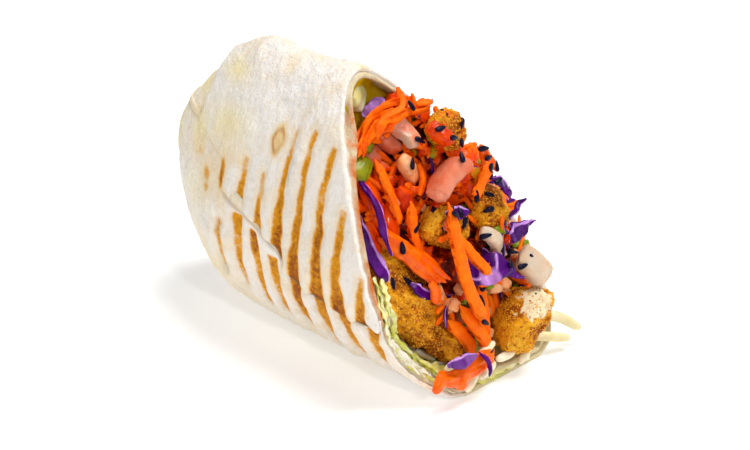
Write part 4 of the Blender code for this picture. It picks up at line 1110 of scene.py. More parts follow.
def carrot_shape(name):
    line, width, thick, roll, _, number = laid(name)
    length = np.linalg.norm(np.diff(line, axis=0), axis=1).sum()
    if name not in TANGLES:
        return carrot_strand(line, width * STRAND_SLIM, thick, roll, number, int(length / 0.42), 28)
    draw = random.Random(number)
    across = np.cross(unit(line[-1] - line[0]), CUT_OUT)
    shapes = []
    for i in range(TANGLES[name]):
        reach = draw.uniform(0.3, 0.6) if i else 1.0
        start = draw.uniform(0, 1 - reach)
        own = smooth_line(line, np.linspace(start, start + reach, 13))
        phase, turn = draw.uniform(0, 6), np.linspace(0, draw.uniform(2, 6), 13)
        own = own + across * (draw.uniform(-0.34, 0.34) * width + 0.9 * np.sin(turn + phase))[:, None]
        own = own + CUT_OUT * (draw.uniform(-0.4, 0.5) * thick + 0.5 * np.cos(turn + 2 * phase))[:, None]
        form = draw.uniform(1.2, 2.4), draw.uniform(0.8, 1.3), draw.uniform(-60, 60)
        shapes.append(carrot_strand(own, *form, number + 7 * i, 44, 16, rough=1.8, sharp=0.6))
    return join_shapes(shapes)


def soft_strand(line, wide, deep, roll, seed):
    """A strand or drip under thick sauce: round, smooth and uneven."""
    made = sweep(line, wide, deep, roll, 0.0, 2.1, 2.0, seed, 60, 22)
    rings = made["rings"]
    lift = 0.34 * swell(rings, 3.0, seed) + 0.16 * swell(rings, 1.3, seed + 3)
    points, faces = lifted(made, rings, lift * made["fade"][:, None])
    return points, faces, {"edge": np.zeros(len(points)), "stain": np.zeros(len(points))}


def sauced_shape(name):
    """Shreds stuck together under thick sauce, and drips of it over the lip."""
    line, width, thick, roll, _, number = laid(name)
    draw = random.Random(number)
    across = unit(np.cross(line[-1] - line[0], CUT_OUT))
    strands = int(width / 1.1)
    end = SAUCED_ENDS.get(name, 1.0)
    shapes = []
    for i in range(strands):
        side = (i + 0.5) / strands * 2 - 1
        start, stop = draw.uniform(-0.06, 0.06), end * draw.uniform(0.9, 1.02)
        own = smooth_line(line, np.linspace(start, stop, 13))
        waves = np.sin(np.linspace(0, draw.uniform(3, 7), 13) + draw.uniform(0, 6))
        own = own + across * (side * 0.4 * width + 0.5 * waves)[:, None]
        own = own + CUT_OUT * (0.3 * thick * (1 - side * side) - 0.3 + 0.4 * waves[::-1])[:, None]
        wide, deep = draw.uniform(1.7, 2.4), min(thick, draw.uniform(1.7, 2.4))
        shapes.append(soft_strand(own, wide, deep, roll, number + 5 * i))
    if name == "carrot_on_lip":
        shapes += [soft_strand(on_cut(*np.array(drip).T), wide, wide * 0.8, 0, number + order)
                   for order, (*drip, wide) in enumerate(LIP_DRIPS)]
    return melted(join_shapes(shapes))


SAUCED_ENDS = {"carrot_on_lip": 0.9}  # how far along its line a sauced lump reaches
MELT_CELL, MELT_ROUNDS = 0.25, 3  # cell in mm of the remeshing, and rounds of smoothing after it


def melted(shape):
    """Overlapping closed shapes run together into one soft one."""
    base = linked("melting", mesh_from("melting", *shape[:2]))
    remesh = base.modifiers.new("remesh", "REMESH")
    remesh.mode, remesh.voxel_size, remesh.use_smooth_shade = "VOXEL", MELT_CELL * MM, True
    smooth = base.modifiers.new("smooth", "SMOOTH")
    smooth.factor, smooth.iterations = 0.5, MELT_ROUNDS
    return evaluated(base)


# Drips of sauce over the lip: four places u, v, h and a width each.
LIP_DRIPS = (((-31.6, -12.6, 1.2), (-32.6, -15.4, 2.0), (-34.4, -17.4, 1.8), (-35.4, -18.4, 1.0), 3.6),
             ((-33.0, -6.4, 0.4), (-34.8, -8.2, 1.4), (-36.8, -9.6, 1.6), (-37.6, -10.4, 0.8), 4.4))


class BURRITO_OT_carrots(bpy.types.Operator):
    """Build the grated carrots"""
    bl_idname = "burrito.carrots"
    bl_label = "Carrots"

    def execute(self, context):
        plain, sauced = (carrot_material(name) for name in CARROT_LOOKS)
        for name in names_of("carrot"):
            wet = name in SAUCED
            mesh = sauced_shape(name) if wet else mesh_from("grated_" + name, *carrot_shape(name))
            add_piece("grated_" + name, mesh, sauced if wet else plain, "carrot", name)
        return {"FINISHED"}


# --- the cabbage ---
def cabbage_material():
    look = Shader("red_cabbage", "cabbage", specular=0.25, coat=0.06, coat_rough=0.12)
    look.over((92, 8, 124), look.cloud(3.0, 0.35, 0.7))
    cut = look.value("cut")
    look.over("cabbage_cut", look.spread(cut, 0.3, 0.85))
    look.over((230, 200, 234), look.spread(look.times(cut, look.cloud(0.9, 0.4, 0.75)), 0.4, 0.9))
    return look.finish((1.8, 0.35, 0.65, 0.2, 0.4), (1.2, 0.6, 0.08, 0.5))


KNIFE_SIDE = unit(0.6 * CUT_OUT + 0.7 * CUT_ACROSS + 0.35 * CUT_UP)  # where the pale cut edges lie
CABBAGE_POINT = (0.45, 0.45, 0.3)  # narrowing of a shred at both ends, and its reach at the second
CABBAGE_POINTS = {"cabbage_wing": (0.2, 0.9, 0.85), "cabbage_big": (0.3, 0.85, 0.5),
                  "cabbage_left_lower": (0.75, 0.1, 0.1), "cabbage_left_upper": (0.5, 0.6, 0.4)}
CABBAGE_SLIM = {"cabbage_curl": 0.55, "cabbage_low": 0.9, "cabbage_wing": 1.25, "cabbage_left_upper": 0.9,
                "cabbage_left_lower": 0.9}
PALE_SHREDS = {"cabbage_top": 0.7, "cabbage_low": 0.5}  # how pale the face that shows is
LEAF_GRID = (60, 32)  # spans and sides of a shred
LILAC_SPOT = (-13.4, 7.4, 3.6)  # u, v and reach of the pale inside of the big shred


def cabbage_shred(line, width, thick, roll, wave, seed, spans, sides, narrowing=CABBAGE_POINT, lilac=None):
    """A shred of leaf: dark faces, a pale band along one cut edge, ragged outline, long waves."""
    made = sweep(line, width, thick, roll, wave, 4.0, 3.5, seed, spans, sides)
    flat, t = made["flat"][None], made["t"][:, None]
    narrow = 1 - narrowing[0] * (1 - ramp(t / 0.3)) - narrowing[1] * (1 - ramp((1 - t) / narrowing[2]))
    rings = drawn_in(made, narrow)
    ruffle = 0.05 * width * np.sin(23 * t + 3 * seed + 2 * flat) * flat ** 2
    dents = 0.04 * width * swell(made["middle"], 3.0, seed)[:, None]
    rings = rings + made["up"][:, None] * (ruffle + dents)[..., None]
    ragged = 0.06 * width * swell(rings, 2.4, seed + 3) * np.abs(flat) ** 3
    rings = rings + made["side"][:, None] * (ragged * np.sign(flat))[..., None]
    side = 1 if (made["side"] @ KNIFE_SIDE).mean() > 0 else -1
    cut = ramp((flat * side - 0.42 + 0.12 * swell(rings, 2.0, seed)) / 0.25)
    cut = cut * ramp((1.02 - flat * side) / 0.12)
    if lilac:
        u, v, _ = in_cut_frame(rings)
        away = np.hypot(u - lilac[0], v - lilac[1]) + 0.5 * swell(rings, 2.5, 4)
        # painted highlight: a pale lilac arc on the big shred
        stripe = np.exp(-((np.hypot(u + 8.2, v - 6.2) - 4.9) / 0.4) ** 2)
        cut = np.maximum(0.25 * cut, np.maximum(ramp((lilac[2] - away) / 2.2), stripe))
    points, faces = closed_tube(rings, *made["ends"])
    return points, faces, {"cut": with_ends(cut)}


def cabbage_shape(name):
    line, width, *form = laid(name)
    points, faces, fields = cabbage_shred(line, width * CABBAGE_SLIM.get(name, 1), *form, *LEAF_GRID,
                                          CABBAGE_POINTS.get(name, CABBAGE_POINT),
                                          LILAC_SPOT if name == "cabbage_big" else None)
    pale = PALE_SHREDS.get(name, 0) * (0.85 + 0.3 * swell(points, 2.5, form[-1]))
    return points, faces, {"cut": np.maximum(fields["cut"], pale)}


class BURRITO_OT_cabbage(bpy.types.Operator):
    """Build the shreds of red cabbage"""
    bl_idname = "burrito.cabbage"
    bl_label = "Cabbage"

    def execute(self, context):
        leaf = cabbage_material()
        for name in names_of("cabbage"):
            add_shape("red_" + name, cabbage_shape(name), leaf, "cabbage", name)
        return {"FINISHED"}


# --- tomato, onion, pepper, pickle and sprouts ---
def wet_material(name, base, second, third, sheen=0.3, soft=0.2, patch=4.0, deep=0.35, least=0.15, most=0.35):
    """Wet, slightly see-through vegetable flesh in three colours."""
    look = Shader(name, base, specular=0.2, coat=sheen, coat_rough=0.07, soft=soft, soft_tint=(1.0, 0.5, 0.3),
                  soft_depth=0.002)
    look.over(second, look.cloud(patch, 0.38, 0.68))
    look.over(third, look.cloud(patch * 0.5, 0.55, 0.8), deep)
    look.over("sauce", look.value("stain"), look.cloud(5.5, 0.46, 0.62), 0.8)
    return look.finish((2.0, 0.35, 0.65, least, most), (1.6, 0.4, 0.18, 0.6))


# Finish of each kind of vegetable, or of one piece: its name, its three colours and what differs.
WET_LOOKS = {
    "tomato": ("tomato_flesh", "tomato", (228, 150, 120), (196, 62, 28),
               dict(sheen=0.4, soft=0.3, patch=7.0, deep=0.85)),
    "onion": ("chopped_onion", "onion", (206, 168, 132), (226, 214, 190), dict(soft=0.35, deep=0.6)),
    "pepper": ("green_pepper", "pepper", (150, 164, 20), (84, 100, 2), {}),
    "pickle": ("pickle_flesh", "pickle", (210, 180, 40), (150, 140, 6), {}),
    "sprout": ("bean_sprout", "sprout", (234, 226, 188), (214, 190, 122),
               dict(soft=0.3, least=0.25, most=0.45)),
    "onion_middle": ("saucy_onion", (238, 178, 128), (232, 132, 62), (246, 220, 188), dict(deep=0.8)),
    "onion_inner": ("onion_heart", (226, 224, 172), (206, 206, 120), (244, 240, 214), {}),
    "tomato_deep": ("tomato_red", (198, 34, 0), (232, 74, 0), (150, 10, 0), {}),
}
RED_PIECES = ("tomato_back", "tomato_low")  # which take the finish of tomato_deep

# Width of a piece against its solid's.
WIDER = {"tomato_big": 0.66, "onion_middle": 0.8, "onion_inner": 1.9, "pickle_slice": 1.3,
         "pickle_end": 1.2, "pepper_piece": 1.3, "tomato_deep": 1.3}
# Pieces that lie out of the sauce.
CLEAN = ("onion_inner", "pepper_piece", "pickle_slice", "pickle_end", "onion_block", "tomato_big")


def stain_at(points):
    """How much sauce has run over places: all of it in the upper half of the cut."""
    u, v, _ = in_cut_frame(points)
    return ramp((u - 2) / 14) * ramp((26 - v) / 16)


def chunk_shape(name, amount, square, tip, cuts, rough, grid):
    """A cut chunk with nearly flat faces, soft edges and a slightly uneven surface."""
    line, width, *form, number = laid(name)
    made = sweep(line, width * WIDER.get(name, 1), *form, square, tip, number, *grid)
    made["rings"] = sliced(drawn_relief(made, amount, 6.0, number), made["middle"].mean(0), (0.78, 0.95),
                           number, cuts)
    rings = made["rings"]
    points, faces = lifted(made, rings, rough * crags(rings, 2.6, number, 3) * made["fade"][:, None] ** 0.5)
    return points, faces, {"stain": stain_at(points) * (0.2 if name in CLEAN else 0.8)}


# Relief as drawn, squareness, bluntness, knife cuts, roughness, spans and sides of each kind of chunk.
CHUNK_FORM = {"tomato": (0.08, 3.4, 4.0, 4, 0.2, (44, 40)), "onion": (0.06, 3.6, 4.5, 4, 0.16, (44, 40)),
              "pepper": (0.06, 3.2, 5.0, 3, 0.12, (48, 44)), "pickle": (0.06, 2.6, 3.0, 0, 0.12, (40, 36)),
              "sprout": (0.04, 2.0, 3.5, 0, 0.1, (48, 24))}


class BURRITO_OT_vegetables(bpy.types.Operator):
    """Build the tomato, onion, pepper, pickle and sprouts"""
    bl_idname = "burrito.vegetables"
    bl_label = "Other vegetables"

    def execute(self, context):
        looks = {key: wet_material(*recipe, **more) for key, (*recipe, more) in WET_LOOKS.items()}
        looks.update({name: looks["tomato_deep"] for name in RED_PIECES})
        for kind, form in CHUNK_FORM.items():
            for name in names_of(kind):
                add_shape("wet_" + name, chunk_shape(name, *form), looks.get(name, looks[kind]), kind, name)
        return {"FINISHED"}


# --- the mixed filling ---
def filling_material():
    # the near-black base is partly the sauced mix and partly painted shade in the gaps between the pieces
    look = Shader("saucy_mix", (44, 5, 3), specular=0.15, coat=0.12, coat_rough=0.1)
    look.over((150, 34, 4), look.cloud(4.0, 0.4, 0.6))
    look.over("sauce", look.cloud(2.4, 0.56, 0.7))
    look.over((190, 180, 80), look.value("leafy"), look.cloud(2.2, 0.35, 0.55))
    look.over("pickle", look.value("sour"))
    return look.finish((2.0, 0.35, 0.65, 0.12, 0.4), (1.6, 0.6, 0.3, 0.8))


def filling_mesh():
    """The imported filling: the solid's own form with a lumpy face at the cut."""
    bm = solid("mixed_filling")
    bm.normal_update()
    out = Vector(CUT_OUT)
    bm.edges.index_update()
    face_edges = {edge for face in bm.faces if face.normal.dot(out) > 0.25 for edge in face.edges}
    chosen = sorted(face_edges, key=lambda edge: edge.index)
    bmesh.ops.subdivide_edges(bm, edges=chosen, cuts=3, use_grid_fill=True)
    bmesh.ops.triangulate(bm, faces=bm.faces)
    bm.normal_update()
    facing = np.array([vert.normal.dot(out) for vert in bm.verts])
    points, faces = taken(bm)
    u, v, _ = in_cut_frame(points)
    fuller = 4.2 * ramp((u - 26) / 10) + 1.2
    dip = (0.9 * crags(points, 3.2, 31, 3) - 0.5 + fuller) * ramp(facing * 2)
    points = points + CUT_OUT * dip[:, None]
    sour = ramp((u - 30) / 3) * ramp((6 - v) / 3)
    leafy = ramp((-u - 12) / 12) + ramp((-v - 12) / 6) * ramp(-u / 8)
    return mesh_from("packed_filling", points, faces, {"leafy": np.clip(leafy, 0, 1), "sour": sour})


class BURRITO_OT_filling(bpy.types.Operator):
    """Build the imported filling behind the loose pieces"""
    bl_idname = "burrito.filling"
    bl_label = "Packed filling"

    def execute(self, context):
        add_piece("packed_filling", filling_mesh(), filling_material(), "mixed_filling", "mixed_filling")
        return {"FINISHED"}


# --- what is strewn over it ---
def geometry_tree(name, sockets, build):
    """Geometry nodes that put a shape on points; `build` gives the points, turns and sizes."""
    if name in bpy.data.node_groups:
        return bpy.data.node_groups[name]
    tree = bpy.data.node_groups.new(name, "GeometryNodeTree")
    shared = {"Geometry": "Geometry", "Shape": "Object", "Size": "Float", "Finish": "Material"}
    for key, kind in (shared | sockets).items():
        tree.interface.new_socket(key, in_out="INPUT", socket_type="NodeSocket" + kind)
    tree.interface.new_socket("Geometry", in_out="OUTPUT", socket_type="NodeSocketGeometry")
    given, result = tree.nodes.new("NodeGroupInput").outputs, tree.nodes.new("NodeGroupOutput")

    def node(kind, inputs, output=0, **options):
        return tree_node(tree, kind, inputs, output, **options)

    points, turn, scale = build(node, given)
    shape = node("GeometryNodeObjectInfo", {"Object": given["Shape"]}, "Geometry")
    turned = node("FunctionNodeEulerToRotation", {0: turn})
    placed = node("GeometryNodeInstanceOnPoints", {"Points": points, "Instance": shape, "Rotation": turned,
                                                   "Scale": scale})
    whole = node("GeometryNodeRealizeInstances", {"Geometry": placed})
    finished = node("GeometryNodeSetMaterial", {"Geometry": whole, "Material": given["Finish"]})
    tree.links.new(finished, result.inputs[0])
    return tree


def strewing_tree():
    """One shape on every point, turned and sized by the points' own values."""
    def build(node, given):
        turn = node("GeometryNodeInputNamedAttribute", {"Name": "turn"}, data_type="FLOAT_VECTOR")
        own = node("GeometryNodeInputNamedAttribute", {"Name": "own_size"}, data_type="FLOAT")
        scale = node("ShaderNodeMath", {0: own, 1: given["Size"]}, operation="MULTIPLY")
        return given["Geometry"], turn, scale
    return geometry_tree("strewing", {}, build)


def crumbing_tree():
    """Crumbs of random turn and size all over a crust, fewer on bare meat."""
    def build(node, given):
        meat = node("GeometryNodeInputNamedAttribute", {"Name": "meat"}, data_type="FLOAT")
        crusty = node("ShaderNodeMath", {0: meat, 1: -MEAT_BARE, 2: 1.0}, operation="MULTIPLY_ADD")
        dense = node("ShaderNodeMath", {0: crusty, 1: given["Density"]}, operation="MULTIPLY")
        spots = node("GeometryNodeDistributePointsOnFaces",
                     {"Mesh": given["Geometry"], "Density": dense, "Seed": given["Seed"]}, "Points")
        shade = node("FunctionNodeRandomValue", {"Seed": 3}, 1, data_type="FLOAT")
        shaded = node("GeometryNodeStoreNamedAttribute", {"Geometry": spots, "Name": "shade", "Value": shade},
                      "Geometry", data_type="FLOAT", domain="POINT")
        turn = node("FunctionNodeRandomValue", {0: (0, 0, 0), 1: (FULL_TURN,) * 3, "Seed": 1},
                    data_type="FLOAT_VECTOR")
        large = node("FunctionNodeRandomValue", {0: LEAST_CRUMB, 1: MOST_CRUMB, "Seed": 2},
                     data_type="FLOAT_VECTOR")
        scale = node("ShaderNodeVectorMath", {0: large, "Scale": given["Size"]}, operation="SCALE")
        return shaded, turn, scale
    return geometry_tree("crumbing", {"Density": "Float", "Seed": "Int"}, build)


FULL_TURN = 6.28
MEAT_BARE = 0.8  # how much fewer crumbs lie on bare meat
LEAST_CRUMB, MOST_CRUMB = (0.45, 0.45, 0.3), (1.3, 1.1, 0.9)


def grown(name, mesh, tree, inputs):
    """The plain mesh that a tree of geometry nodes makes from a mesh."""
    base = linked(name + "_base", mesh)
    modifier = base.modifiers.new("nodes", "NODES")
    modifier.node_group = tree
    for item in tree.interface.items_tree:
        if item.in_out == "INPUT" and item.name in inputs:
            modifier[item.identifier] = inputs[item.name]
    made = evaluated(base)
    made.name = name
    made.shade_smooth()
    return made


def strewn(name, places, shape, length, material):
    """One mesh of a shape repeated at places, each (point, heading, up, own size)."""
    mesh = bpy.data.meshes.new(name + "_points")
    mesh.from_pydata([((np.array(point) + PLACE) * MM).tolist() for point, *_ in places], [], [])
    turns = []
    for _, heading, up, _ in places:
        along = unit(heading - up * (heading @ up))
        across = np.cross(up, along)
        turns.append(Matrix(np.array((along, across, up)).T.tolist()).to_euler())
    mesh.attributes.new("turn", "FLOAT_VECTOR", "POINT").data.foreach_set("vector", np.array(turns).ravel())
    mesh.attributes.new("own_size", "FLOAT", "POINT").data.foreach_set("value", [own for *_, own in places])
    pattern = bpy.data.objects.new(name + "_shape", shape)
    made = grown(name, mesh, strewing_tree(), {"Shape": pattern, "Size": length, "Finish": material})
    bpy.data.objects.remove(pattern)
    return made


def spindle(name, wide, thick, sides, spans, point=0.0):
    """A blunt grain one unit long, narrower towards one end by `point`."""
    t = eased(spans)
    fade = (1 - np.abs(2 * t - 1) ** 2.4) ** (1 / 2.4) * (1 - point * t)
    around = 2 * math.pi * np.arange(sides) / sides
    rings = np.stack(np.broadcast_arrays((t - 0.5)[:, None], np.cos(around) * fade[:, None] * wide / 2,
                                         np.sin(around) * fade[:, None] * thick / 2), -1)
    points, faces = closed_tube(rings, np.array((-0.5, 0, 0)), np.array((0.5, 0, 0)))
    return mesh_from(name, points / MM - PLACE, faces)


def patches_of(bm):
    """The faces of a bmesh in patches that creases part."""
    left = set(bm.faces)
    for first in bm.faces:
        if first not in left:
            continue
        left.discard(first)
        front, patch = [first], []
        while front:
            patch.append(front.pop())
            for edge in patch[-1].edges:
                for other in edge.link_faces:
                    if other in left and edge.calc_face_angle_signed(0) > -CREASE_ANGLE:
                        left.discard(other)
                        front.append(other)
        yield patch


def fused_seeds():
    """Places and headings of the seeds that are fused to the loose solids."""
    found = []
    for name in PIECES:
        if name in SEEDLESS:
            continue
        bm = solid(name)
        for patch in patches_of(bm):
            corners = sorted({vert for face in patch for vert in face.verts}, key=lambda vert: vert.index)
            points = np.array([vert.co for vert in corners]) / MM - PLACE
            reach = np.linalg.norm(points - points.mean(0), axis=1).max()
            if SEED_FACES[0] < len(patch) < SEED_FACES[1] and SEED_REACH[0] < reach < SEED_REACH[1]:
                axes = np.linalg.svd(points - points.mean(0))[2]
                up = axes[2] if axes[2] @ CUT_OUT > 0 else -axes[2]
                found.append((points.mean(0), axes[0], up, 1.0))
        bm.free()
    return found


SEED_FACES = (6, 70)  # a fused seed has a number of faces between these
SEED_LIFT, SEED_GAP = 0.35, 3.0  # how high a seed's middle lies, and the least distance of two
CREASE_ANGLE = math.radians(28)
SEED_REACH = (1.2, 2.4)
# Pieces whose faces are bare but for the seeds along their edges.
SEEDLESS = ("tomato_big", "onion_middle", "onion_block", "carrot_long", "carrot_branch", "carrot_sauced")
# More seeds by rule: the middle u, v of a cluster, its spread and how many.
SEED_CLUSTERS = ((-10, 17, 2.6, 6), (22, 2, 1.6, 4), (27, 9, 3.0, 4), (7, 1, 2.0, 4), (17, 18, 2.5, 6),
                 (3, 14, 3.0, 4), (2, -13, 0.3, 1), (-32, 4, 0.5, 1), (-12.6, 20.0, 0.3, 1),
                 (-12.0, 22.8, 0.3, 1), (-14.2, 18.0, 0.3, 1), (-14.2, 28.2, 0.3, 1),
                 (-21.3, 23.1, 0.3, 1), (-23.2, 0.4, 0.2, 1))


def seed_places():
    """The fused seeds and more in clusters, none nearer to another than a seed's width."""
    draw = random.Random(RANDOM_SEED)
    heap = heap_tree()
    places = []
    for point, heading, up, own in fused_seeds():
        turn = draw.uniform(-1.3, 1.3)
        places.append((point, heading * math.cos(turn) + np.cross(up, heading) * math.sin(turn), up, own))
    for middle_u, middle_v, spread, count in SEED_CLUSTERS:
        kept = 0
        for _ in range(200):
            point, up = top_at(heap, draw.gauss(middle_u, spread), draw.gauss(middle_v, spread))
            heading = draw.uniform(0, math.pi)
            if point is None or up @ CUT_OUT < 0.5:
                continue
            if any(np.linalg.norm(point - other) < SEED_GAP for other, *_ in places):
                continue
            places.append((point + up * SEED_LIFT, on_face(heading), up, draw.uniform(0.85, 1.05)))
            kept += 1
            if kept == count:
                break
    return places


class BURRITO_OT_sesame(bpy.types.Operator):
    """Strew the black sesame seeds"""
    bl_idname = "burrito.sesame"
    bl_label = "Sesame"

    def execute(self, context):
        look = Shader("black_sesame", "sesame", specular=0.15, coat=0.15, coat_rough=0.06)
        look.over((18, 10, 46), look.cloud(1.0, 0.35, 0.7))
        surface = look.finish((0.8, 0.3, 0.7, 0.28, 0.5), (0.4, 0.5, 0.06, 0.5))
        seed = spindle("seed", 0.6, 0.36, 14, 10, point=0.55)
        mesh = strewn("sesame_seeds", seed_places(), seed, settings()[1].seed, surface)
        add_piece("sesame_seeds", mesh, surface, "mixed_filling")
        return {"FINISHED"}


def crumb_shape():
    """A small angular crumb of eight faces, one unit across."""
    draw = random.Random(RANDOM_SEED)
    corners = [np.array(axis) * sign * draw.uniform(0.38, 0.58) for axis in np.eye(3) for sign in (1, -1)]
    faces = [(a, b, c) for a in (0, 1) for b in (2, 3) for c in (4, 5)]
    return mesh_from("crumb", np.array(corners) / MM - PLACE, faces, smooth=False)


CRUMB_DENSITY = 2.0e6  # crumbs on a square metre of crust


class BURRITO_OT_crumbs(bpy.types.Operator):
    """Strew crumbs over the fried chicken"""
    bl_idname = "burrito.crumbs"
    bl_label = "Crumbs"

    def execute(self, context):
        bm = bmesh.new()
        for name in names_of("chicken"):
            bm.from_mesh(bpy.data.objects["fried_" + name].data)
        whole = bpy.data.meshes.new("crusts")
        bm.to_mesh(whole)
        bm.free()
        pattern = bpy.data.objects.new("crumb_shape", crumb_shape())
        look = Shader("loose_crumb", "crumb", specular=0.4)
        shade = look.value("shade")
        look.over((255, 196, 60), look.spread(shade, 0.0, 0.75))
        look.over((196, 96, 2), look.spread(shade, 0.75, 0.9))
        look.over((150, 46, 4), look.spread(shade, 0.92, 0.98))
        look.over("crumb_dark", look.cloud(0.8, 0.5, 0.8))
        finish = look.finish((0.7, 0.4, 0.6, 0.3, 0.55))
        inputs = {"Shape": pattern, "Size": settings()[1].crumb, "Density": CRUMB_DENSITY,
                  "Seed": RANDOM_SEED, "Finish": finish}
        mesh = grown("chicken_crumbs", whole, crumbing_tree(), inputs)
        bpy.data.objects.remove(pattern)
        add_piece("chicken_crumbs", mesh, finish, "chicken")
        return {"FINISHED"}


FILL_STEP = 1.0
RIM_RISE = 3.2  # how high bits are heaped over the rim at the back
# fewer bits in the middle leave gaps where the dark filling stands as painted shade
DARK_GAPS = 0.4  # how much less the middle of the cut is filled with bits
RIM_SPAN = (-0.12, 1.0)  # and over which part of it


def height_map(tree, us, vs):
    """Heights out of the cut of a surface over a grid of places; nan where there is none."""
    heights = np.full((len(us), len(vs)), np.nan)
    for index in np.ndindex(heights.shape):
        hit = struck(tree, us[index[0]], vs[index[1]])[0]
        if hit is not None:
            heights[index] = in_cut_frame(np.array(hit))[2]
    return heights


def blurred(values, rounds):
    for _ in range(rounds):
        padded = np.pad(values, 1, mode="edge")
        sides = padded[:-2, 1:-1] + padded[2:, 1:-1] + padded[1:-1, :-2] + padded[1:-1, 2:]
        values = (sides + 4 * values) / 8
    return values


def at_rim(theta, depth, rise):
    """A place `depth` mm inside the wrap's outline and `rise` mm out of the cut, at theta."""
    y, z = section(np.array(theta))
    shrink = 1 - depth / np.hypot(y, z)
    y, z = y * shrink, max(z * shrink, -CENTRE_Z)
    return np.array((cut_x(y, z), y, z + CENTRE_Z)) + CUT_OUT * rise


def bit_places(count, rim_count):
    """Random places for bits that fill the gaps of the heap, and for some over the rim at the back."""
    draw = random.Random(RANDOM_SEED)
    us, vs = np.arange(-42, 43, FILL_STEP), np.arange(-26, 33, FILL_STEP)
    heap = height_map(heap_tree(), us, vs)
    wrap = height_map(tree_of("tortilla"), us, vs)
    u, v = np.meshgrid(us, vs, indexing="ij")
    inside = ~np.isnan(heap) & ~(wrap > heap - 0.3)
    filled = np.where(inside, heap, -6)
    level = blurred(filled, 14) - 0.4
    room = np.where(inside, level - filled, 0) * ((u > -9) | (v > -7) & (u > -30)) * (u < 33)
    room = room * np.where((u > -12) & (u < 13) & (v < 12), DARK_GAPS, 1)
    cells = [tuple(cell) for cell in np.argwhere(room > 1.0)]
    places = []
    for cell in draw.choices(cells, [min(room[cell], 5) for cell in cells], k=count):
        a, b = us[cell[0]] + draw.uniform(-0.5, 0.5), vs[cell[1]] + draw.uniform(-0.5, 0.5)
        places.append(on_cut(a, b, filled[cell] + draw.uniform(0.1, 1) * room[cell]))
    for _ in range(rim_count):
        theta = draw.uniform(*RIM_SPAN)
        rise = draw.uniform(-0.5, RIM_RISE * (0.3 + 0.7 * ramp(theta / 0.4)))
        places.append(at_rim(theta, draw.uniform(0.3, 5.5), rise))
    made = []
    for place in places:
        heading = draw.uniform(0, 2 * math.pi)
        tilt = CUT_OUT + 0.45 * (draw.gauss(0, 0.6) * CUT_UP + draw.gauss(0, 0.6) * CUT_ACROSS)
        made.append((place, on_face(heading), unit(tilt), draw.random()))
    return made


# What the bits are, by region: carrot, red tomato, pale tomato, onion, cabbage, green pepper.
BIT_KINDS = ("carrot", "red", "pale", "onion", "cabbage", "green")
BIT_SHARES = {"upper": (0.56, 0.14, 0.11, 0.06, 0.06, 0.07), "middle": (0.42, 0.1, 0.05, 0.07, 0.3, 0.06),
              "lower": (0.36, 0.08, 0.06, 0.3, 0.1, 0.1)}


def bits_by_kind(count, rim_count):
    sorted_bits = {kind: [] for kind in BIT_KINDS}
    for place in bit_places(count, rim_count):
        u, chance = in_cut_frame(place[0])[0], place[3]
        shares = BIT_SHARES["upper" if u > 9 else "middle" if u > -12 else "lower"]
        kind = BIT_KINDS[min(int(np.searchsorted(np.cumsum(shares), chance)), len(BIT_KINDS) - 1)]
        sorted_bits[kind].append(place[:3])
    return sorted_bits


def short_line(point, heading, up, length, bend):
    """Three points of a short bent line."""
    along = unit(heading - up * (heading @ up))
    return np.array((point - along * length / 2, point + np.cross(up, along) * bend + up * 0.4,
                     point + along * length / 2))


def carrot_shreds(places):
    draw = random.Random(3)
    shapes = []
    for number, place in enumerate(places):
        line = short_line(*place, draw.uniform(5, 10), draw.uniform(-1.2, 1.2))
        form = draw.uniform(1.1, 2.0), draw.uniform(0.8, 1.3), draw.uniform(-60, 60)
        shapes.append(carrot_strand(line, *form, number, 14, 10, rough=1.3, sharp=0.5))
    return join_shapes(shapes)


def cabbage_bits(places):
    draw = random.Random(4)
    shapes = []
    for number, place in enumerate(places):
        line = short_line(*place, draw.uniform(5, 9), draw.uniform(-1.6, 1.6))
        form = draw.uniform(1.1, 2.2), 0.6, draw.uniform(-70, 70)
        shapes.append(cabbage_shred(line, *form, 0.3, number, 12, 12))
    return join_shapes(shapes)


def dice(places, length, wide, seed):
    """Small knife-cut chunks."""
    draw = random.Random(seed)
    shapes = []
    for number, place in enumerate(places):
        line = short_line(*place, draw.uniform(*length), 0)
        made = sweep(line, wide * draw.uniform(0.7, 1.2), wide * 0.75, draw.uniform(-30, 30), 0, 4.0, 5.0,
                     number, 9, 12)
        rings = sliced(made["rings"], place[0], (0.7, 0.95), seed + number, 5)
        points, faces = lifted(made, rings, 0.12 * swell(rings, 1.5, number))
        shapes.append((points, faces, {"stain": stain_at(points)}))
    return join_shapes(shapes)


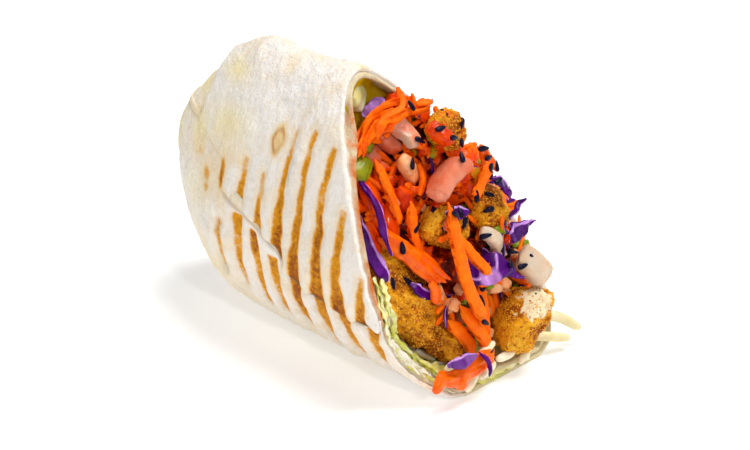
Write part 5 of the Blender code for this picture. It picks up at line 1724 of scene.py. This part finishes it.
def leaf_shred(line, up, wide, seed, curl, shade):
    """A thin frilled ribbon of leaf along a line, with both faces."""
    t = np.linspace(0, 1, 34)
    across = np.linspace(-1, 1, 7)
    middle = smooth_line(line, t)
    along = unit(np.gradient(middle, axis=0))
    side = unit(np.cross(up, along))
    up = np.cross(along, side)
    fade = np.clip(np.sin(math.pi * t) * 3, 0.12, 1) ** 0.6
    frill = 0.11 * wide * np.sin(26 * t[:, None] + seed + 2 * across) * np.abs(across) ** 1.5
    hollow = 0.2 * wide * across ** 2 * curl
    ragged = 1 + 0.25 * np.sin(31 * t + 2 * seed)[:, None] * np.abs(across)
    sheet = (middle[:, None] + side[:, None] * (across * wide / 2 * fade[:, None] * ragged)[..., None]
             + up[:, None] * (frill + hollow)[..., None])
    sheet = sheet + up[:, None] * (0.2 * swell(sheet, 1.4, seed))[..., None]
    thick = up[:, None] * 0.16
    ring = np.concatenate((sheet + thick, (sheet - thick)[:, ::-1]), axis=1)
    points, faces = closed_tube(ring, ring[0].mean(0), ring[-1].mean(0))
    rib = np.concatenate((1 - np.abs(across), (1 - np.abs(across))[::-1]))
    rib = with_ends(np.broadcast_to(rib, ring.shape[:2]))
    return points, faces, {"rib": rib, "shade": np.full(len(points), shade)}


# Rice at the lower rim as on the solid: u, v and direction in degrees.
RICE_SPOTS = ((-22, -15, 150), (-25, -12, 110), (-29, -8, 130), (-35, 3, 100), (-36, 15, 70),
              (-34, 19, 120), (-37, 8, 150), (-24, -15, 125), (-12, -20, 170), (2, -21, 10),
              (30, 16, 30), (-27, 9, 90))
# Grains that lie in the open at the lip: u, v, h and direction in degrees.
LIP_GRAINS = ((-36.3, 9.1, 0.6, 95), (-37.4, 1.8, 0.4, 75), (-38.0, -4.0, 0.0, 60), (-38.6, 16.6, 0.2, 60),
              (-30.9, -9.4, 1.6, 85), (-31.6, 2.4, 1.8, 80))
LEAF_LOWEST = 0.6  # no shred hangs lower than this
# Lettuce along the rim: first and last angle of the section, how many shreds.
LETTUCE = ((3.2, 3.8, 12), (3.6, 4.2, 15), (4.0, 4.6, 15), (4.4, 5.3, 12))


def lettuce_shape(width):
    """Shreds that lie along the inside of the rim, each leaning its own way."""
    draw = random.Random(5)
    shapes = []
    for first, last, count in LETTUCE:
        for _ in range(count):
            start = draw.uniform(first, last - 0.15)
            stop = start + draw.uniform(0.25, 0.55)
            depth, rise = WALL + draw.uniform(-0.4, 2.8), draw.uniform(-3.4, 0.3)
            wander = [draw.uniform(-0.55, 0.55) for _ in range(10)]
            line = np.array([at_rim(start + (stop - start) * i / 4, depth + wander[i] + 0.5 * i * wander[9],
                                    rise + wander[5 + i % 4]) for i in range(5)])
            lean = unit(CUT_OUT + draw.gauss(0.2, 0.7) * CUT_ACROSS + draw.gauss(0.2, 0.5) * CUT_UP)
            shapes.append(leaf_shred(line, lean, width / MM * draw.uniform(0.35, 0.72), draw.uniform(0, 6),
                                     draw.uniform(-1, 1), draw.random()))
    points, faces, fields = join_shapes(shapes)
    points[:, 2] = np.maximum(points[:, 2], LEAF_LOWEST)
    return points, faces, fields


def rice_places():
    draw = random.Random(8)
    core = tree_of("mixed_filling")
    places = []
    for u, v, h, heading in LIP_GRAINS:
        places.append((on_cut(u, v, h), on_face(math.radians(heading)), CUT_OUT, 1.0))
    spots = [(u, v, heading, 1.0) for u, v, heading in RICE_SPOTS]
    for u, v, heading in RICE_SPOTS[:8]:
        spots += [(u + draw.gauss(0, 2.2), v + draw.gauss(0, 2.2), draw.uniform(80, 165), 0.8)
                  for _ in range(3)]
    for u, v, heading, own in spots:
        point, up = top_at(core, u, v)
        if point is not None:
            places.append((point + up * draw.uniform(0.2, 0.9), on_face(math.radians(heading)), up, own))
    return places


BIT_COUNT, RIM_BITS = 270, 90
# Diced pieces: their finish and which bits they are.
DICE = {"tomato_dice": ("tomato_red", "red"), "onion_dice": ("saucy_onion", "onion"),
        "pale_dice": ("tomato_flesh", "pale"), "green_dice": ("green_pepper", "green")}
DICE_LENGTH, DICE_WIDTH, DICE_SEED = (2.4, 4.6), 2.8, 21


class BURRITO_OT_strewn(bpy.types.Operator):
    """Strew shreds, dice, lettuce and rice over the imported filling"""
    bl_idname = "burrito.strewn"
    bl_label = "Strewn filling"

    def execute(self, context):
        sizes = settings()[1]
        bits = bits_by_kind(BIT_COUNT, RIM_BITS)
        shapes = {"carrot_shreds": ("grated_carrot", carrot_shreds(bits["carrot"])),
                  "cabbage_bits": ("red_cabbage", cabbage_bits(bits["cabbage"]))}
        for number, (name, (look, kind)) in enumerate(DICE.items()):
            shapes[name] = look, dice(bits[kind], DICE_LENGTH, DICE_WIDTH, DICE_SEED + number)
        for name, (look, shape) in shapes.items():
            add_shape(name, shape, bpy.data.materials[look], "mixed_filling")
        leaf = Shader("lettuce_leaf", (244, 240, 214), specular=0.4, coat=0.15, coat_rough=0.2, soft=0.3,
                      soft_tint=(0.7, 1.0, 0.4), soft_depth=0.0015)
        shade = leaf.value("shade")
        leaf.over("lettuce", leaf.spread(shade, 0.2, 0.6))
        leaf.over((196, 196, 76), leaf.spread(shade, 0.65, 0.9))
        leaf.over((246, 244, 214), leaf.cloud(3.5, 0.45, 0.7))
        side = leaf.spread(leaf.value("rib"), 0.0, 0.3, 1.0, 0.0)
        leaf.over((196, 196, 44), side, leaf.cloud(4.0, 0.4, 0.6))
        leaf.finish((1.5, 0.3, 0.7, 0.28, 0.5), (0.9, 0.5, 0.1, 0.6))
        add_shape("lettuce_shreds", lettuce_shape(sizes.shred), leaf.surface, "mixed_filling")
        rice = Shader("cooked_rice", "rice", specular=0.4, coat=0.2, coat_rough=0.15, soft=0.3,
                      soft_depth=0.002)
        rice.over((224, 204, 150), rice.cloud(5.0, 0.4, 0.7))
        rice.finish((2.0, 0.3, 0.7, 0.2, 0.4), (1.2, 0.4, 0.08, 0.5))
        grain = spindle("grain", 0.34, 0.3, 12, 9)
        mesh = strewn("rice_grains", rice_places(), grain, sizes.grain, rice.surface)
        add_piece("rice_grains", mesh, rice.surface, "mixed_filling")
        return {"FINISHED"}


# --- the sauce ---
# Patches of sauce: middle u, v and reach along and across the cut, and what they lie on.
LOW_HEAP = ("packed_filling", "carrot_shreds", "tomato_dice", "pale_dice", "onion_dice")
SAUCE_PATCHES = ((14, -15, 15, 6, LOW_HEAP), (22, 0, 15, 8, LOW_HEAP), (12, 14, 12, 8, LOW_HEAP),
                 (0, -5, 8, 9, LOW_HEAP))
# Pools of thick sauce along the front: three places u, v, h and a width each.
SAUCE_POOLS = (((25, -14.5, -6.0), (17, -13.5, -5.0), (9, -14.0, -5.2), 5.5),
               ((12, -16.5, -5.4), (5, -17.0, -5.0), (-1, -17.5, -5.6), 4.5),
               ((14, -9.5, -4.2), (8, -10.5, -4.0), (3, -11.0, -4.4), 4.6))
SAUCE_STEP = 0.55
SAUCE_THIN, SAUCE_MOST, SAUCE_CLIFF = 0.15, 2.6, 2.2


def sauce_shape(middle_u, middle_v, reach_u, reach_v, below, seed):
    """A film over a patch of the heap that pools in its hollows and thins out at its edge."""
    us = np.arange(middle_u - 1.3 * reach_u, middle_u + 1.3 * reach_u, SAUCE_STEP)
    vs = np.arange(middle_v - 1.3 * reach_v, middle_v + 1.3 * reach_v, SAUCE_STEP)
    u, v = np.meshgrid(us, vs, indexing="ij")
    height = height_map(tree_from(map(finished_surface, below)), us, vs)
    known = ~np.isnan(height)
    height = np.where(known, height, np.nanmin(height) if known.any() else 0)
    smooth = blurred(height, 7)
    away = np.hypot((u - middle_u) / reach_u, (v - middle_v) / reach_v)
    wet = ramp((1.05 - away + 0.55 * crags(on_cut(u, v, 0 * u), 4.5, seed, 2)) / 0.35)
    film = np.minimum(np.maximum(height + SAUCE_THIN, smooth + 0.1), height + SAUCE_MOST)
    top = blurred(film, 2) * wet + (height - 0.6) * (1 - wet)
    steep = np.maximum.reduce([np.abs(height - np.roll(height, shift, axis))
                               for shift in (-1, 1) for axis in (0, 1)])
    good = (wet > 0.05) & known & (steep < SAUCE_CLIFF)
    cells = good[:-1, :-1] & good[1:, :-1] & good[:-1, 1:] & good[1:, 1:]
    number = np.arange(u.size).reshape(u.shape)
    count = u.size
    faces = []
    for i, j in zip(*np.nonzero(cells)):
        a, b, c, d = number[i, j], number[i + 1, j], number[i + 1, j + 1], number[i, j + 1]
        faces += [(a, b, c, d), (a + count, d + count, c + count, b + count)]
        for p, q, near in ((a, b, (i, j - 1)), (b, c, (i + 1, j)), (c, d, (i, j + 1)), (d, a, (i - 1, j))):
            if not (0 <= near[0] < cells.shape[0] and 0 <= near[1] < cells.shape[1] and cells[near]):
                faces.append((q, p, p + count, q + count))
    points = np.concatenate((on_cut(u, v, top).reshape(-1, 3), on_cut(u, v, top - 0.7).reshape(-1, 3)))
    used = sorted({i for face in faces for i in face})
    renumber = {old: new for new, old in enumerate(used)}
    faces = [tuple(renumber[i] for i in face) for face in faces]
    return points[used], faces, {"wet": np.tile(wet.ravel(), 2)[used]}


def finished_surface(name):
    """The points in mm and the faces of a finished piece."""
    bm = bmesh.new()
    bm.from_mesh(bpy.data.objects[name].data)
    return taken(bm)


class BURRITO_OT_sauce(bpy.types.Operator):
    """Pour the sauce over the filling"""
    bl_idname = "burrito.sauce"
    bl_label = "Sauce"

    def execute(self, context):
        look = Shader("chilli_sauce", "sauce", specular=0.15, coat=0.35, coat_rough=0.05)
        look.over((232, 54, 0), look.cloud(3.5, 0.35, 0.7))
        look.over((250, 110, 2), look.cloud(1.4, 0.6, 0.8))
        look.finish((2.0, 0.3, 0.7, 0.08, 0.22), (2.2, 0.2, 0.2, 0.6))
        shapes = [sauce_shape(*patch, number + 3) for number, patch in enumerate(SAUCE_PATCHES)]
        for number, (*pool, wide) in enumerate(SAUCE_POOLS):
            points, faces, _ = soft_strand(on_cut(*np.array(pool, float).T), wide, wide * 0.6, 0, number)
            shapes.append((points, faces, {"wet": np.ones(len(points))}))
        add_shape("chilli_sauce", join_shapes(shapes), look.surface, "mixed_filling")
        return {"FINISHED"}


# --- the stage ---
CAMERA_AZIMUTH, CAMERA_ELEVATION = math.radians(43.25), math.radians(27.0)
CAMERA_AWAY = 427.5
CAMERA_RIGHT, CAMERA_UP, CAMERA_DROP = -16.91, 41.477, -2.309
CAMERA_LENS, CAMERA_SENSOR = 75.13, 36.0
SKY = 0.36
FLOOR_GLOW = 0.26
FLOOR_DARK, FLOOR_LIGHT = (246.99,) * 3, (249.31,) * 3
LAMP_AIM = (-20, 0, 35)
LAMPS = {  # place, width, watts
    "back_top": ((120, 260, 950), 480, 8.4),
    "front_fill": ((-300, -900, 500), 700, 1.8),
    "spark": ((600, -300, 520), 50, 1.3),
    "kicker": ((575, 470, 200), 40, 0.4),
}


def view_axes():
    a, e = CAMERA_AZIMUTH, CAMERA_ELEVATION
    back = np.array((math.sin(a) * math.cos(e), -math.cos(a) * math.cos(e), math.sin(e)))
    right = np.array((math.cos(a), math.sin(a), 0))
    return right, np.cross(back, right), back


def area_light(name, place, width, watts):
    """A square lamp that points at the middle of the part."""
    lamp = bpy.data.lights.new(name, "AREA")
    lamp.size = width * MM
    lamp.energy = watts
    obj = linked(name, lamp)
    obj.location = (np.array(place) + PLACE) * MM
    obj.rotation_euler = Vector(np.array(LAMP_AIM, float) - place).to_track_quat("-Z", "Y").to_euler()


class BURRITO_OT_stage(bpy.types.Operator):
    """Set the floor, the light and the camera"""
    bl_idname = "burrito.stage"
    bl_label = "Stage"

    def execute(self, context):
        scene = context.scene
        look = Shader("white_floor", FLOOR_DARK, specular=0.1, glow_tint=(1, 1, 1, 1), glow=FLOOR_GLOW)
        look.over(FLOOR_LIGHT, look.cloud(300.0, 0.3, 0.7))
        look.finish((50.0, 0.4, 0.6, 0.8, 0.9))
        mesh = bpy.data.meshes.new("floor")
        mesh.from_pydata([(-4, -4, 0), (4, -4, 0), (4, 4, 0), (-4, 4, 0)], [], [(0, 1, 2, 3)])
        mesh.materials.append(look.surface)
        linked("floor", mesh)

        world = bpy.data.worlds.new("studio")
        world.use_nodes = True
        world.node_tree.nodes["Background"].inputs["Color"].default_value = (1, 1, 1, 1)
        world.node_tree.nodes["Background"].inputs["Strength"].default_value = SKY
        scene.world = world
        for name, (place, width, watts) in LAMPS.items():
            area_light(name, place, width, watts)
        scene.view_settings.view_transform = "Standard"

        right, up, back = view_axes()
        target = right * CAMERA_RIGHT + up * CAMERA_UP + np.array((0, 0, CAMERA_DROP))
        eye = (target + back * CAMERA_AWAY + PLACE) * MM
        camera = bpy.data.cameras.new("camera")
        camera.lens, camera.sensor_width = CAMERA_LENS, CAMERA_SENSOR
        scene.camera = linked("camera", camera)
        scene.camera.matrix_world = Matrix((*np.stack((right, up, back, eye), -1).tolist(), (0, 0, 0, 1)))
        return {"FINISHED"}


class BURRITO_PT_panel(bpy.types.Panel):
    """Lists the burrito's pieces, colours and sizes"""
    bl_label = "Chicken burrito"
    bl_idname = "BURRITO_PT_panel"
    bl_space_type = "VIEW_3D"
    bl_region_type = "UI"
    bl_category = "Burrito"

    def draw(self, context):
        for operator in OPERATORS:
            self.layout.operator(operator.bl_idname)
        for group in (context.scene.burrito_colours, context.scene.burrito_sizes):
            for key in group.bl_rna.properties.keys():
                if key not in ("rna_type", "name"):
                    self.layout.prop(group, key)


OPERATORS = (BURRITO_OT_tortilla, BURRITO_OT_filling, BURRITO_OT_chicken, BURRITO_OT_carrots,
             BURRITO_OT_cabbage, BURRITO_OT_vegetables, BURRITO_OT_strewn, BURRITO_OT_sauce,
             BURRITO_OT_sesame, BURRITO_OT_crumbs, BURRITO_OT_stage)
CLASSES = (BurritoColours, BurritoSizes, *OPERATORS, BURRITO_PT_panel)


def register():
    for cls in CLASSES:
        bpy.utils.register_class(cls)
    bpy.types.Scene.burrito_colours = bpy.props.PointerProperty(type=BurritoColours)
    bpy.types.Scene.burrito_sizes = bpy.props.PointerProperty(type=BurritoSizes)


def unregister():
    del bpy.types.Scene.burrito_colours
    del bpy.types.Scene.burrito_sizes
    for cls in reversed(CLASSES):
        bpy.utils.unregister_class(cls)


def main():
    register()
    for operator in OPERATORS:
        getattr(bpy.ops.burrito, operator.bl_idname.split(".")[1])()


if __name__ == "__main__":
    main()
